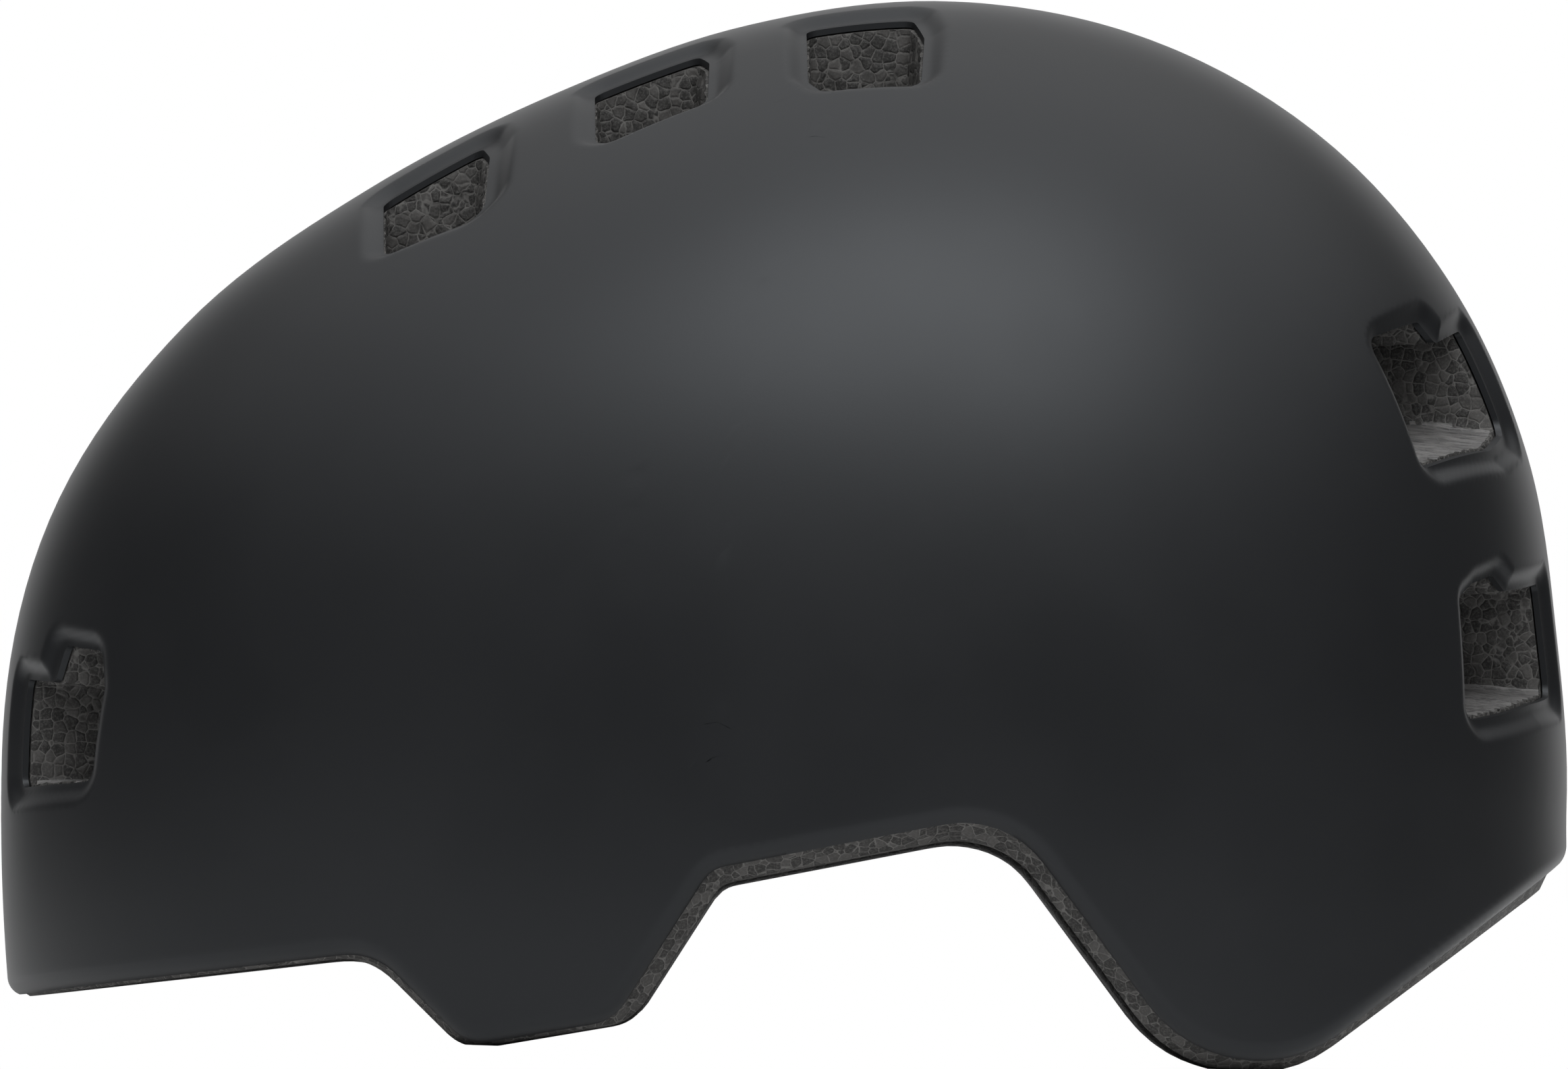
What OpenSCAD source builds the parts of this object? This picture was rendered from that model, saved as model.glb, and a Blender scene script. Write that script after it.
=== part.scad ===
// Bicycle helmet: moulded outer shell, foam liner, pads, dial-fit cradle and strap harness.
// Forward is -X, the wearer's left is -Y, up is +Z. It stands on its four lower lobes.

/* [Shell] */
// Length from the brow to the back
helmet_l = 280; // [270:1:292]
// Width at the widest level
helmet_w = 212; // [204:1:220]
// Height of the crown above the ground
helmet_h = 189; // [183:1:196]
// How far the crown lies behind the middle of the length
crown_back = 24; // [20:1:28]
// Height of the widest level above the ground
waist_z = 50; // [47:0.5:54]
// Wall of the outer shell
shell_wall = 1; // [0.8:0.1:1.4]
// Gap that the bonding film fills between shell and liner
bond_gap = 0.3; // [0.2:0.05:0.5]
// Width of the pressed border round each vent
border_w = 5; // [3.5:0.5:6]
// Depth of the pressed border
border_d = 1.8; // [1:0.1:2.4]

/* [Lower edge] */
// Height of the front edge at the brow
brow_z = 5.5; // [3:0.5:9]
// Height of the hollow between the brow and the temple lobe
temple_hollow_z = 15.2; // [12:0.2:20]
// Place of the temple lobe, from the middle of the length
temple_lobe_x = -55; // [-60:1:-50]
// Place of the rear lobe, from the middle of the length
rear_lobe_x = 79; // [74:1:84]
// Height of the ear arch
arch_z = 40.8; // [36:0.2:44]
// Height of the edge at the middle of the back
back_z = 38; // [33:0.5:44]
// Foam that shows below the shell round the ear arch
foam_show = 2.8; // [1.5:0.1:4]
// Foam that shows below the shell along the rest of the edge
foam_line = 0.5; // [0.3:0.1:1]

/* [Liner] */
// Thickness of the foam at the brow
liner_front = 26; // [23:0.5:29]
// Thickness of the foam at the back
liner_back = 27; // [24:0.5:30]
// Thickness of the foam at the sides
liner_side = 24; // [21:0.5:27]
// Thickness of the foam at the crown
liner_top = 26; // [23:0.5:29]
// Depth of the air channels under the vents
channel_d = 7; // [4:0.5:10]
// Distance of the air channels from the middle
channel_in = 23; // [20:0.5:26]
// Width of each air channel
channel_w = 22; // [16:0.5:24]
// Half the width of the finger hollow behind the dial
hollow_half = 27; // [22:0.5:32]
// Depth of the finger hollow into the liner
hollow_d = 13; // [9:0.5:16]

/* [Pads] */
// Thickness of the comfort pads
pad_t = 7; // [5:0.5:9]
// Thickness of a pad at its drawn-in edge
pad_edge_t = 2.4; // [1.6:0.2:4]
// Diameter of a hook fastener disc
disc_d = 14; // [12:1:16]
// Thickness of a hook fastener disc
disc_t = 1.2; // [0.8:0.1:1.6]

/* [Cradle] */
// Place of the temple pivot, from the middle of the length
pivot_x = -60; // [-66:0.5:-54]
// Height of the temple pivot
pivot_z = 62; // [58:0.5:66]
// Diameter of the pivot pin
pin_d = 5; // [4:0.5:6]
// Radial running clearance of pins and shafts
run_gap = 0.05; // [0.03:0.01:0.08]
// Height of the cradle band
band_h = 11; // [8:0.5:13]
// Thickness of the cradle band
band_t = 2; // [1.5:0.1:2.6]
// Space between the liner and the cradle band
band_stand = 5; // [4:0.25:6]
// Height of the dial's axis
dial_z = 27; // [24:0.5:30]
// Diameter of the dial
dial_d = 26; // [22:0.5:30]
// Thickness of the dial
dial_t = 8; // [6:0.5:9]
// Width of the dial housing
housing_w = 56; // [50:1:62]
// Height of the dial housing
housing_h = 25; // [23:0.5:28]
// Depth of the dial housing
housing_d = 8; // [7:0.25:9]
// Travel of each belt
belt_travel = 8; // [4:0.5:9]
// Radius of the pinion's pitch circle
pinion_r = 4; // [3.5:0.25:4.5]
// Teeth of the pinion
pinion_teeth = 10; // [8:1:12]
// Width of the height strip
strip_w = 12; // [9:0.5:15]

/* [Harness] */
// Width of the webbing
web_w = 15; // [12:0.5:18]
// Thickness of the webbing
web_t = 1.5; // [1:0.1:2]
// Space between the liner and the stowed webbing
web_stand = 1.2; // [1:0.1:1.6]
// Width of the chin buckle
buckle_w = 25; // [22:0.5:29]
// Thickness of the chin buckle
buckle_t = 8; // [7:0.5:9]
// Length of the chin buckle when closed
buckle_l = 44; // [38:1:50]
// Travel that frees the buckle's tongue
buckle_travel = 14; // [10:1:16]

/* [Hidden] */
// Clearance between pieces that do not touch
gap = 0.3;
// A hair of overlap for cuts
eps = 0.01;
// How far cutting shapes reach past what they cut
margin = 20;
// Facets round a fine cylinder
$fn = 48;

// Colours
black_matt = [0.17, 0.17, 0.18];
foam_grey = [0.27, 0.26, 0.26];
pad_black = [0.10, 0.10, 0.11];
plastic_black = [0.13, 0.13, 0.14];
webbing_black = [0.08, 0.08, 0.09];
steel = [0.70, 0.70, 0.72];

// Dome surface. Its radius about the centre follows an ellipse in the middle plane and at the
// sides, with factors every 15 degrees from the brow over the crown to the back.
centre = [crown_back, 0, waist_z];
back_flare = 8;
brow_tuck = 3.5;
side_tuck = 5;
front_reach = helmet_l / 2 + crown_back;
rear_reach = helmet_l / 2 - crown_back - 0.5;
half_w = helmet_w / 2;
crown_h = helmet_h - waist_z;
MID_FORM = [1, 1.0015, 0.985, 0.962, 0.962, 0.984, 1, 1.01, 1.026, 1.032, 1.022, 0.999, 1];
side_form = 0.03;
plan_power_front = 2.15;
plan_power_rear = 2.3;

// Insets of a surface below the dome, as [front, rear, side, top]
function even(t) = [t, t, t, t];
FOAM_OUT = even(shell_wall + bond_gap);
FOAM_IN = FOAM_OUT + [liner_front, liner_back, liner_side, liner_top];

function ellipse(a, b, el) = 1 / sqrt(pow(cos(el) / a, 2) + pow(sin(el) / b, 2));
function knot(p, i) = i < 0 ? p[-i] : i >= len(p) ? p[2 * len(p) - 2 - i] : p[i];
function spline(p, t) =
  let (i = floor(t), f = t - i, a = knot(p, i - 1), b = knot(p, i), c = knot(p, i + 1), d = knot(p, i + 2))
  b + f * ((c - a) / 2 + f * (a - 2.5 * b + 2 * c - 0.5 * d + f * (1.5 * (b - c) + 0.5 * (d - a))));
function mid_knots(inset) = [
  for (i = [0:12]) MID_FORM[i] * ellipse(i < 6 ? front_reach - inset[0] : rear_reach - inset[1],
                                         crown_h - inset[3], 15 * i)
];
// Radius towards azimuth az, 0 at the front and 90 at the left, and elevation el
function dome_r(inset, az, el) =
  let (
    front = cos(az) > 0,
    mid = spline(mid_knots(inset), front ? el / 15 : 12 - el / 15),
    side = ellipse(half_w - inset[2], crown_h - inset[3], el) * (1 + side_form * pow(sin(2 * el), 2)),
    m = 2 + ((front ? plan_power_front : plan_power_rear) - 2) * pow(cos(el), 2)
  )
  pow(pow(abs(cos(az)) / mid, m) + pow(abs(sin(az)) / side, m), -1 / m);
function tuck(az) = (cos(az) > 0 ? brow_tuck : -back_flare) * pow(cos(az), 2) + side_tuck * pow(sin(az), 2);
// Point at level s: -1 is the ground, 0 the widest level, 1 the crown
function dome_pt(inset, az, s) =
  let (el = 90 * max(s, 0), u = max(-s, 0), r = dome_r(inset, az, el), h = r * cos(el) - tuck(az) * u * u)
  [centre[0] - h * cos(az), -h * sin(az), s < 0 ? waist_z * (1 + s) : waist_z + r * sin(el)];
// How deep a point lies inside the surface
function depth_in(inset, p) =
  let (d = p - centre, az = atan2(-d[1], -d[0]), h = norm([d[0], d[1]]))
  d[2] < 0 ? dome_r(inset, az, 0) - tuck(az) * pow(d[2] / waist_z, 2) - h
           : dome_r(inset, az, atan2(d[2], h)) - norm(d);
// Distance from p along the unit vector v to the surface, by halving
function reach_of(inset, p, v, lo = 0, hi = helmet_l, n = 17) =
  n == 0 ? (lo + hi) / 2
         : let (m = (lo + hi) / 2) depth_in(inset, p + m * v) > 0 ? reach_of(inset, p, v, m, hi, n - 1)
                                                                  : reach_of(inset, p, v, lo, m, n - 1);
function unit(v) = v / norm(v);
function mix(a, b, t) = a + (b - a) * t;
// Inward normal of the surface
function inward(inset, az, s) =
  let (e = 0.4, t = dome_pt(inset, az + e, s) - dome_pt(inset, az - e, s),
       u = dome_pt(inset, az, s + 0.01) - dome_pt(inset, az, s - 0.01))
  unit(cross(u, t));
// Point that stands off the liner's inner wall by g
function in_pt(az, s, g) = dome_pt(FOAM_IN, az, s) + g * inward(FOAM_IN, az, s);

// Closed solid through rings of points, each ring turning anticlockwise about the way it travels
module loft(rings) {
  n = len(rings[0]);
  m = len(rings);
  mean = function(r) [for (k = [0:2]) [for (p = r) p[k]] * [for (p = r) 1] / len(r)];
  points = concat([for (r = rings) each r], [mean(rings[0]), mean(rings[m - 1])]);
  sides = [
    for (i = [0:m - 2], j = [0:n - 1])
      let (a = i * n + j, b = i * n + (j + 1) % n, c = b + n, d = a + n)
      each [[a, d, c], [a, c, b]]
  ];
  caps = [
    for (j = [0:n - 1])
      each [[n * m, j, (j + 1) % n], [n * m + 1, (m - 1) * n + (j + 1) % n, (m - 1) * n + j]]
  ];
  polyhedron(points, concat(sides, caps));
}

// Solid under the dome surface at an inset
dome_around = 40;
dome_levels = 12;
inside_around = 44;
inside_levels = 11;
skirt_levels = [-1.05, -0.66, -0.3];
module dome(inset, around = dome_around, levels = dome_levels) {
  heights = concat(skirt_levels, [for (i = [0:levels - 1]) i / (levels - 0.4)]);
  loft([for (s = heights) [for (j = [0:around - 1]) dome_pt(inset, 360 * j / around, s)]]);
}
module head_hollow(inset) { dome(inset, inside_around, inside_levels); }

// Lower edge, as corners [x, z, fillet] from the brow to the back
RIM = [
  [-helmet_l / 2 - margin, brow_z - 3.2, 0], [temple_lobe_x - 17.7, temple_hollow_z, 12],
  [temple_lobe_x - 0.2, -1, 8], [temple_lobe_x + 29, 4.9, 8],
  [temple_lobe_x + 43.8, arch_z - 11.1, 6], [rear_lobe_x - 41, arch_z, 18],
  [rear_lobe_x, -10.4, 24.6], [helmet_l / 2 + margin, back_z + 15.6, 0]
];
// How far each stretch of the shell's edge lies above the liner's
FOAM_BAND = [foam_line, foam_line, foam_line, foam_show, foam_show, foam_show, foam_line];
rim_steps = 6;
function pair(p) = [p[0], p[1]];
function meet(p, u, q, v) = p + u * cross(q - p, v) / cross(u, v);
function raised(c, lift) = [
  for (i = [0:len(c) - 1])
    let (
      last = len(c) - 1, a = max(i - 1, 0), b = min(i, last - 1),
      u = unit(pair(c[a + 1]) - pair(c[a])), v = unit(pair(c[b + 1]) - pair(c[b])),
      p = pair(c[i]) + lift[a] * [-u[1], u[0]], q = pair(c[i]) + lift[b] * [-v[1], v[0]],
      k = a == b ? p : meet(p, u, q, v)
    )
    [k[0], k[1], c[i][2]]
];
function fillet(a, b, c, r) =
  let (
    u = unit(pair(a) - pair(b)), v = unit(pair(c) - pair(b)), half = acos(u * v) / 2,
    o = pair(b) + unit(u + v) * r / sin(half),
    p = pair(b) + u * r / tan(half), q = pair(b) + v * r / tan(half),
    a0 = atan2(p[1] - o[1], p[0] - o[0]), a1 = atan2(q[1] - o[1], q[0] - o[0]),
    turn = a1 - a0 - 360 * round((a1 - a0) / 360)
  )
  [for (k = [0:rim_steps]) o + r * [cos(a0 + turn * k / rim_steps), sin(a0 + turn * k / rim_steps)]];
function edge_line(c) = [
  for (i = [0:len(c) - 1])
    each c[i][2] == 0 ? [pair(c[i])] : fillet(c[i - 1], c[i], c[i + 1], c[i][2])
];
// Everything above the lower edge
module above_edge(corners) {
  line = edge_line(corners);
  far = helmet_l / 2 + margin;
  rotate([90, 0, 0]) linear_extrude(helmet_w + 2 * margin, center = true) intersection() {
    polygon(concat(line, [[far, helmet_h + margin], [-far, helmet_h + margin]]));
    translate([-far, 0]) square([2 * far, helmet_h + margin]);
  }
}

// Vents of one side. Each has the way it looks in the middle plane, 0 forward, 90 up and 180
// back, its convex outlines as [distance from the middle, place across that way], and the
// ends of its inner edge.
VENTS = [
  [0, [[[21, -6.5], [49, -6], [51, 11.5], [21, 12.3]],
       [[34.5, 11], [37, 18.8], [49, 18.4], [51, 11]]], [-6.5, 12.3]],
  [90, [[[24, -99], [24, -82], [32, -80.5], [50, -80.5], [52.5, -83], [48, -99]]], [-99, -82]],
  [90, [[[21, -62], [21, -44], [28, -42], [46, -41.6], [49, -59.5], [47, -62]]], [-62, -44]],
  [90, [[[21, -24.5], [21, -6], [32, -3.7], [51, -3.5], [51, -22], [47, -24.5]]], [-24.5, -6]],
  [145, [[[22, -13.2], [61, -14], [64, 2.4], [62, 4.4], [37, 7.9], [22, 6.7]],
         [[41, -13.5], [43, -18.4], [61, -20.8], [62, -12]]], [-13.2, 6.7]],
  [180, [[[20, -38], [62, -35.5], [64, -14], [62, -12.5], [38, -16.7], [20, -18.5]],
         [[44, -36], [49, -39.6], [57, -38.1], [62, -35]]], [-38, -18.5]]
];
// A vent narrows inwards by this share for each millimetre
vent_taper = 0.006;
vent_out = 30;
vent_in = 62;
function span_of(parts) = [for (q = parts) each q];
function middle_of(p) = [for (k = [0:1]) (min([for (q = p) q[k]]) + max([for (q = p) q[k]])) / 2];
// Frame of a vent: x across to the left, y across the way it looks, z the way it looks
module toward(aim) {
  v = [sin(aim), 0, cos(aim)];
  a = [-cos(aim), 0, sin(aim)];
  multmatrix([[0, v[0], a[0], centre[0]], [-1, v[1], a[1], 0], [0, v[2], a[2], centre[2]], [0, 0, 0, 1]])
    children();
}
function vent_skin(vent) =
  let (
    m = middle_of(span_of(vent[1])),
    v = [sin(vent[0]), 0, cos(vent[0])], a = [-cos(vent[0]), 0, sin(vent[0])]
  )
  reach_of(even(0), centre + m[0] * [0, -1, 0] + m[1] * v, a);
module vent_slice(outline, m, w, skin) {
  translate([m[0], m[1], w]) linear_extrude(0.1) scale(1 + (w - skin) * vent_taper)
    translate([-m[0], -m[1]]) polygon(outline);
}
module vent_cuts() {
  for (side = [0, 1]) mirror([0, side, 0]) for (vent = VENTS) toward(vent[0]) {
    skin = vent_skin(vent);
    m = middle_of(span_of(vent[1]));
    for (outline = vent[1]) hull() {
      vent_slice(outline, m, skin + vent_out, skin);
      vent_slice(outline, m, skin - vent_in, skin);
    }
  }
}
// Pressed borders: each runs round a vent and across the middle to its twin
border_in = 34;
module border_prisms(grow) {
  for (side = [0, 1]) mirror([0, side, 0]) for (vent = VENTS) toward(vent[0]) {
    skin = vent_skin(vent);
    translate([0, 0, skin - border_in]) linear_extrude(2 * border_in) offset(delta = border_w + grow) {
      for (outline = vent[1]) polygon(outline);
      translate([-border_w, vent[2][0]])
        square([vent[1][0][0][0] + 2 * border_w, vent[2][1] - vent[2][0]]);
    }
  }
}
module skin(t) {
  difference() {
    dome(even(t));
    difference() {
      border_prisms(t);
      dome(even(t + border_d));
    }
  }
}

// Sub-parts
module outer_shell() {
  color(black_matt) intersection() {
    difference() {
      skin(0);
      skin(shell_wall);
      vent_cuts();
    }
    above_edge(raised(RIM, FOAM_BAND));
  }
}

// Air channels that join the vents of each side along the inner wall
channel_low = waist_z - 5;
module air_channels() {
  intersection() {
    head_hollow(FOAM_IN - even(channel_d));
    for (side = [-1, 1])
      translate([-helmet_l / 2, side * (channel_in + channel_w / 2) - channel_w / 2, channel_low])
        cube([helmet_l, channel_w, helmet_h]);
  }
}
// Hollow for the fingers behind the dial
finger_room = 14;
hollow_corner = 8;
hollow_top = dial_z + dial_d / 2 + finger_room;
hollow_x = dome_pt(FOAM_IN, 180, 0)[0];
module finger_hollow() {
  translate([hollow_x - margin, 0, 0]) rotate([90, 0, 90]) linear_extrude(margin + hollow_d)
    offset(r = hollow_corner, $fn = 24) offset(delta = -hollow_corner)
      translate([-hollow_half, -margin]) square([2 * hollow_half, hollow_top + margin]);
}
module eps_liner() {
  color(foam_grey) intersection() {
    difference() {
      skin(shell_wall + bond_gap);
      head_hollow(FOAM_IN);
      air_channels();
      finger_hollow();
      vent_cuts();
      anchor_pockets();
      rail_holes();
    }
    above_edge(RIM);
  }
}

// Pads. A pad's place(u, v, g) is the point at share u along it, share v up it, g off the liner.
disc_stand = 1.3;
pad_stand = disc_stand + disc_t + gap;
pad_blunt = 0.98;
pad_long = 10;
pad_up = 5;
function swell(u) = 1 - pow(abs(2 * u - 1), 3);
function narrow(u) = pow(1 - pow(abs(2 * u - 1) * pad_blunt, 5), 0.35);
module cushion(place, t, stand = pad_stand) {
  loft([
    for (i = [0:pad_long])
      let (u = i / pad_long, w = narrow(u))
      concat(
        [for (j = [pad_up:-1:0]) place(u, 0.5 + (j / pad_up - 0.5) * w, stand)],
        [for (j = [0:pad_up])
          let (v = j / pad_up)
          place(u, 0.5 + (v - 0.5) * w, stand + pad_edge_t + (t - pad_edge_t) * swell(u) * swell(v))]
      )
  ]);
}
// Pads that lie round the wall: azimuths and levels of their ends
BROW_PAD = [-31, 31, -0.68, -0.2];
SIDE_PAD_FRONT = [27, 64, 0.2, 0.47];
SIDE_PAD_REAR = [116, 150, 0.2, 0.5];
// Pads that lie along the crown: angles fore and aft of upright, and half their spread across
CROWN_PAD_FRONT = [-52, -13, 8.5];
CROWN_PAD_REAR = [13, 50, 8.5];
function ring_place(p) = function(u, v, g) in_pt(mix(p[0], p[1], u), mix(p[2], p[3], v), g);
function crown_az(fore, side) = atan2(sin(side), -sin(fore) * cos(side));
function crown_s(fore, side) = asin(cos(fore) * cos(side)) / 90;
function crown_place(p) = function(u, v, g)
  let (fore = mix(p[0], p[1], u), side = mix(p[2], -p[2], v))
  in_pt(crown_az(fore, side), crown_s(fore, side), g);
module brow_pad() { color(pad_black) cushion(ring_place(BROW_PAD), pad_t); }
module crown_pad_front() { color(pad_black) cushion(crown_place(CROWN_PAD_FRONT), pad_t); }
module crown_pad_rear() { color(pad_black) cushion(crown_place(CROWN_PAD_REAR), pad_t); }
module side_pad_front() { color(pad_black) cushion(ring_place(SIDE_PAD_FRONT), pad_t); }
module side_pad_rear() { color(pad_black) cushion(ring_place(SIDE_PAD_REAR), pad_t); }

// Frame on the liner's inner wall: x forward along the left wall, y up it, z towards the head
module on_wall(az, s, g = 0) {
  o = in_pt(az, s, g);
  n = inward(FOAM_IN, az, s);
  t = unit(cross([0, 0, 1], n));
  y = cross(n, t);
  multmatrix([[t[0], y[0], n[0], o[0]], [t[1], y[1], n[1], o[1]], [t[2], y[2], n[2], o[2]], [0, 0, 0, 1]])
    children();
}
// Discs of hook fastener, two to a pad
function along(p, u) = [mix(p[0], p[1], u), (p[2] + p[3]) / 2];
disc_ends = [0.24, 0.76];
module disc(az, s) { on_wall(az, s, disc_stand) cylinder(d = disc_d, h = disc_t); }
module hook_discs() {
  color(plastic_black) for (u = disc_ends) {
    disc(along(BROW_PAD, u)[0], along(BROW_PAD, u)[1]);
    for (p = [CROWN_PAD_FRONT, CROWN_PAD_REAR]) disc(p[0] < 0 ? 0 : 180, crown_s(mix(p[0], p[1], u), 0));
    for (side = [0, 1]) mirror([0, side, 0]) for (p = [SIDE_PAD_FRONT, SIDE_PAD_REAR])
      disc(along(p, u)[0], along(p, u)[1]);
  }
}

// Temple anchors: a plug in the liner with the pin that the cradle turns on
anchor_d = 16;
anchor_t = 3;
pivot_y = reach_of(FOAM_IN, [pivot_x, 0, pivot_z], [0, 1, 0]);
anchor_sink = 6;
eye_d = 14;
eye_t = 2.5;
eye_stand = 5;
pin_head_d = 8;
pin_head_t = 1.5;
pin_shoulder = 2;
// Frame on the pivot's axis at the left inner wall, z towards the head
module at_pivot(g = 0) { translate([pivot_x, -pivot_y + g, pivot_z]) rotate([-90, 0, 0]) children(); }
module temple_anchor() {
  color(plastic_black) at_pivot() {
    translate([0, 0, -anchor_sink]) {
      cylinder(d = anchor_d, h = anchor_t);
      cylinder(d = pin_d + 2 * pin_shoulder, h = anchor_sink + eye_stand - 2 * gap);
    }
    cylinder(d = pin_d, h = eye_stand + eye_t + gap + eps);
    translate([0, 0, eye_stand + eye_t + gap]) cylinder(d = pin_head_d, h = pin_head_t);
  }
}
module anchor_pockets() {
  for (side = [0, 1]) mirror([0, side, 0]) at_pivot(-anchor_sink - gap)
    cylinder(d = anchor_d + 2 * gap, h = margin, $fn = 32);
}

// Cradle band: one strip from temple to temple round the back, at [azimuth, level, extra stand-off]
BAND = [
  [40, 0.075, 0], [52, 0.065, 0], [66, 0.05, 0], [82, 0.035, 0], [98, 0.02, 0], [114, -0.03, 0],
  [130, -0.12, 1], [143, -0.23, 3]
];
// Places along the back, from the dial's face towards the head
face_in = 1;
dial_face = hollow_x - face_in;
cover_t = 1.6;
rack_back = 0.8;
housing_back = dial_face - dial_t - gap - cover_t;
housing_x = housing_back - housing_d;
rack_x = housing_x + housing_d / 2 + rack_back;
// Section of a strip that stands upright: height h and thickness t about the point p
function upright(p, way, h, t) =
  let (n = unit(cross(unit([way[0], way[1], 0]), [0, 0, 1])) * t / 2, up = [0, 0, h / 2])
  [p - up - n, p + up - n, p + up + n, p - up + n];
module strip(path, h, t) {
  n = len(path) - 1;
  loft([for (i = [0:n]) upright(path[i], path[min(i + 1, n)] - path[max(i - 1, 0)], h, t)]);
}
function band_pt(t) = let (k = spline(BAND, t)) in_pt(k[0], k[1], band_stand + band_t / 2 + k[2]);
function mirrored(path) = [for (i = [len(path) - 1:-1:0]) [path[i][0], -path[i][1], path[i][2]]];
band_steps = 20;
band_x = housing_x - band_t / 2;
BAND_EYE = [pivot_x, -pivot_y + eye_stand + eye_t / 2, pivot_z];
// Its last points, [forward, out from the housing's end, above the dial's axis]
BAND_END = [[0.4, 8, 4.5], [0, 2, 1.5], [0, -4, 0]];
BAND_PATH = concat(
  [BAND_EYE + [3, 0, 0], BAND_EYE + [7, -0.3, -0.2]],
  [for (i = [1:band_steps]) band_pt((len(BAND) - 1) * i / band_steps)],
  [for (e = BAND_END) [band_x - e[0], -housing_w / 2 - e[1], dial_z + e[2]]]
);
module cradle_band() {
  color(plastic_black) difference() {
    union() {
      strip(concat(BAND_PATH, mirrored(BAND_PATH)), band_h, band_t);
      for (side = [0, 1]) mirror([0, side, 0]) at_pivot(eye_stand) cylinder(d = eye_d, h = eye_t);
    }
    for (side = [0, 1]) mirror([0, side, 0]) at_pivot() cylinder(d = pin_d + 2 * run_gap, h = margin);
  }
}

// Height strip on the cradle and its rail on the liner, both curved about the temple pivot
wall_at_pivot = crown_back + reach_of(FOAM_IN, [crown_back, 0, pivot_z], [1, 0, 0]);
strip_t = 1.6;
rail_wall = 1.6;
strip_stand = 4.4;
strip_r = wall_at_pivot - pivot_x - strip_stand;
over_dial = 2.5;
strip_low = asin((dial_z + dial_d / 2 + over_dial - pivot_z) / strip_r);
strip_high = 8;
bracket_t = 2;
// The bracket below the strip is this much narrower at each side, and the strip ends this far below it
bracket_in = 0.5;
strip_foot = 0.5;
RAIL_ENDS = [0.6, 7.6];
rail_lip = 2;
POST_ANGLES = [2, 6];
post_d = 5;
post_sink = 8;
module about_pivot(a0, a1) {
  translate([pivot_x, 0, pivot_z]) rotate([90, 0, 0]) rotate([0, 0, a0])
    rotate_extrude(angle = a1 - a0, $fn = 96) children();
}
module height_strip() {
  foot = dial_z + housing_h / 2;
  lift = pivot_z + strip_r * sin(strip_low) + strip_foot;
  back = pivot_x + strip_r * cos(strip_low) - strip_t / 2;
  front = housing_x + bracket_t;
  step = housing_x + housing_d;
  color(plastic_black) {
    about_pivot(strip_low, strip_high)
      translate([strip_r - strip_t, -strip_w / 2]) square([strip_t, strip_w]);
    rotate([90, 0, 0]) linear_extrude(strip_w - 2 * bracket_in, center = true)
      polygon([[front, foot], [step, foot], [step, lift], [back, lift], [back, lift + bracket_t],
               [front, lift + bracket_t]]);
  }
}
module height_rail() {
  inner = strip_r - strip_t - gap;
  outer = strip_r + gap;
  half = strip_w / 2 + gap;
  mouth = half - rail_lip;
  color(plastic_black) {
    about_pivot(RAIL_ENDS[0], RAIL_ENDS[1]) difference() {
      translate([inner - rail_wall, -half - rail_wall])
        square([outer - inner + 2 * rail_wall, 2 * (half + rail_wall)]);
      translate([inner, -half]) square([outer - inner, 2 * half]);
      translate([inner - rail_wall - 1, -mouth]) square([rail_wall + 2, 2 * mouth]);
    }
    for (a = POST_ANGLES) rail_post(a, post_d, strip_r + gap + rail_wall / 2, 0);
  }
}
module rail_post(a, d, r, more) {
  z = pivot_z + r * sin(a);
  start = pivot_x + r * cos(a);
  wall = crown_back + reach_of(FOAM_IN, [crown_back, 0, z], [1, 0, 0]);
  translate([start, 0, z]) rotate([0, 90, 0]) cylinder(d = d, h = wall + post_sink + more - start);
}
module rail_holes() { for (a = POST_ANGLES) rail_post(a, post_d + 2 * gap, strip_r + gap, gap); }

// Dial housing: an open tray for the racks and the pinion, closed by the cover
housing_wall = 1.6;
rack_t = 3;
rack_h = 4.4;
tooth_h = 1.2;
journal_d = 3;
shaft_d = 5;
boss_in = 6;
boss_y = housing_w / 2 - boss_in;
boss_d = 5;
housing_floor = 0.4;
screw_d = 2;
corner_r = 5;
RACK_LOW = pinion_r - tooth_h / 2;
module rounded(w, h, r) {
  square([w - 2 * r, h], center = true);
  square([w, h - 2 * r], center = true);
  for (i = [-1, 1], j = [-1, 1]) translate([i * (w / 2 - r), j * (h / 2 - r)]) circle(r);
}
// Something drawn in the plane across the dial's axis and made t thick from x
module slab(x, t) { translate([x, 0, dial_z]) rotate([90, 0, 90]) linear_extrude(t) children(); }
module dial_housing() {
  floor_x = housing_x + housing_wall;
  color(plastic_black) difference() {
    union() {
      difference() {
        slab(housing_x, housing_d) rounded(housing_w, housing_h, corner_r);
        slab(floor_x, housing_d)
          rounded(housing_w - 2 * housing_wall, housing_h - 2 * housing_wall, corner_r - housing_wall);
      }
      for (y = [-boss_y, boss_y]) slab(housing_x + housing_wall / 2, housing_d - housing_wall / 2)
        translate([y, 0]) circle(d = boss_d);
    }
    for (y = [-boss_y, boss_y]) slab(floor_x, housing_d) translate([y, 0]) circle(d = screw_d + 2 * run_gap);
    slab(housing_x + housing_floor, housing_d) circle(d = journal_d + 2 * run_gap);
    for (side = [-1, 1]) slab(rack_x - rack_t / 2 - gap, rack_t + 2 * gap)
      translate([side * housing_w / 2, -side * (RACK_LOW + rack_h / 2 + gap / 2)])
        square([4 * housing_wall, rack_h + 3 * gap], center = true);
  }
}
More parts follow.
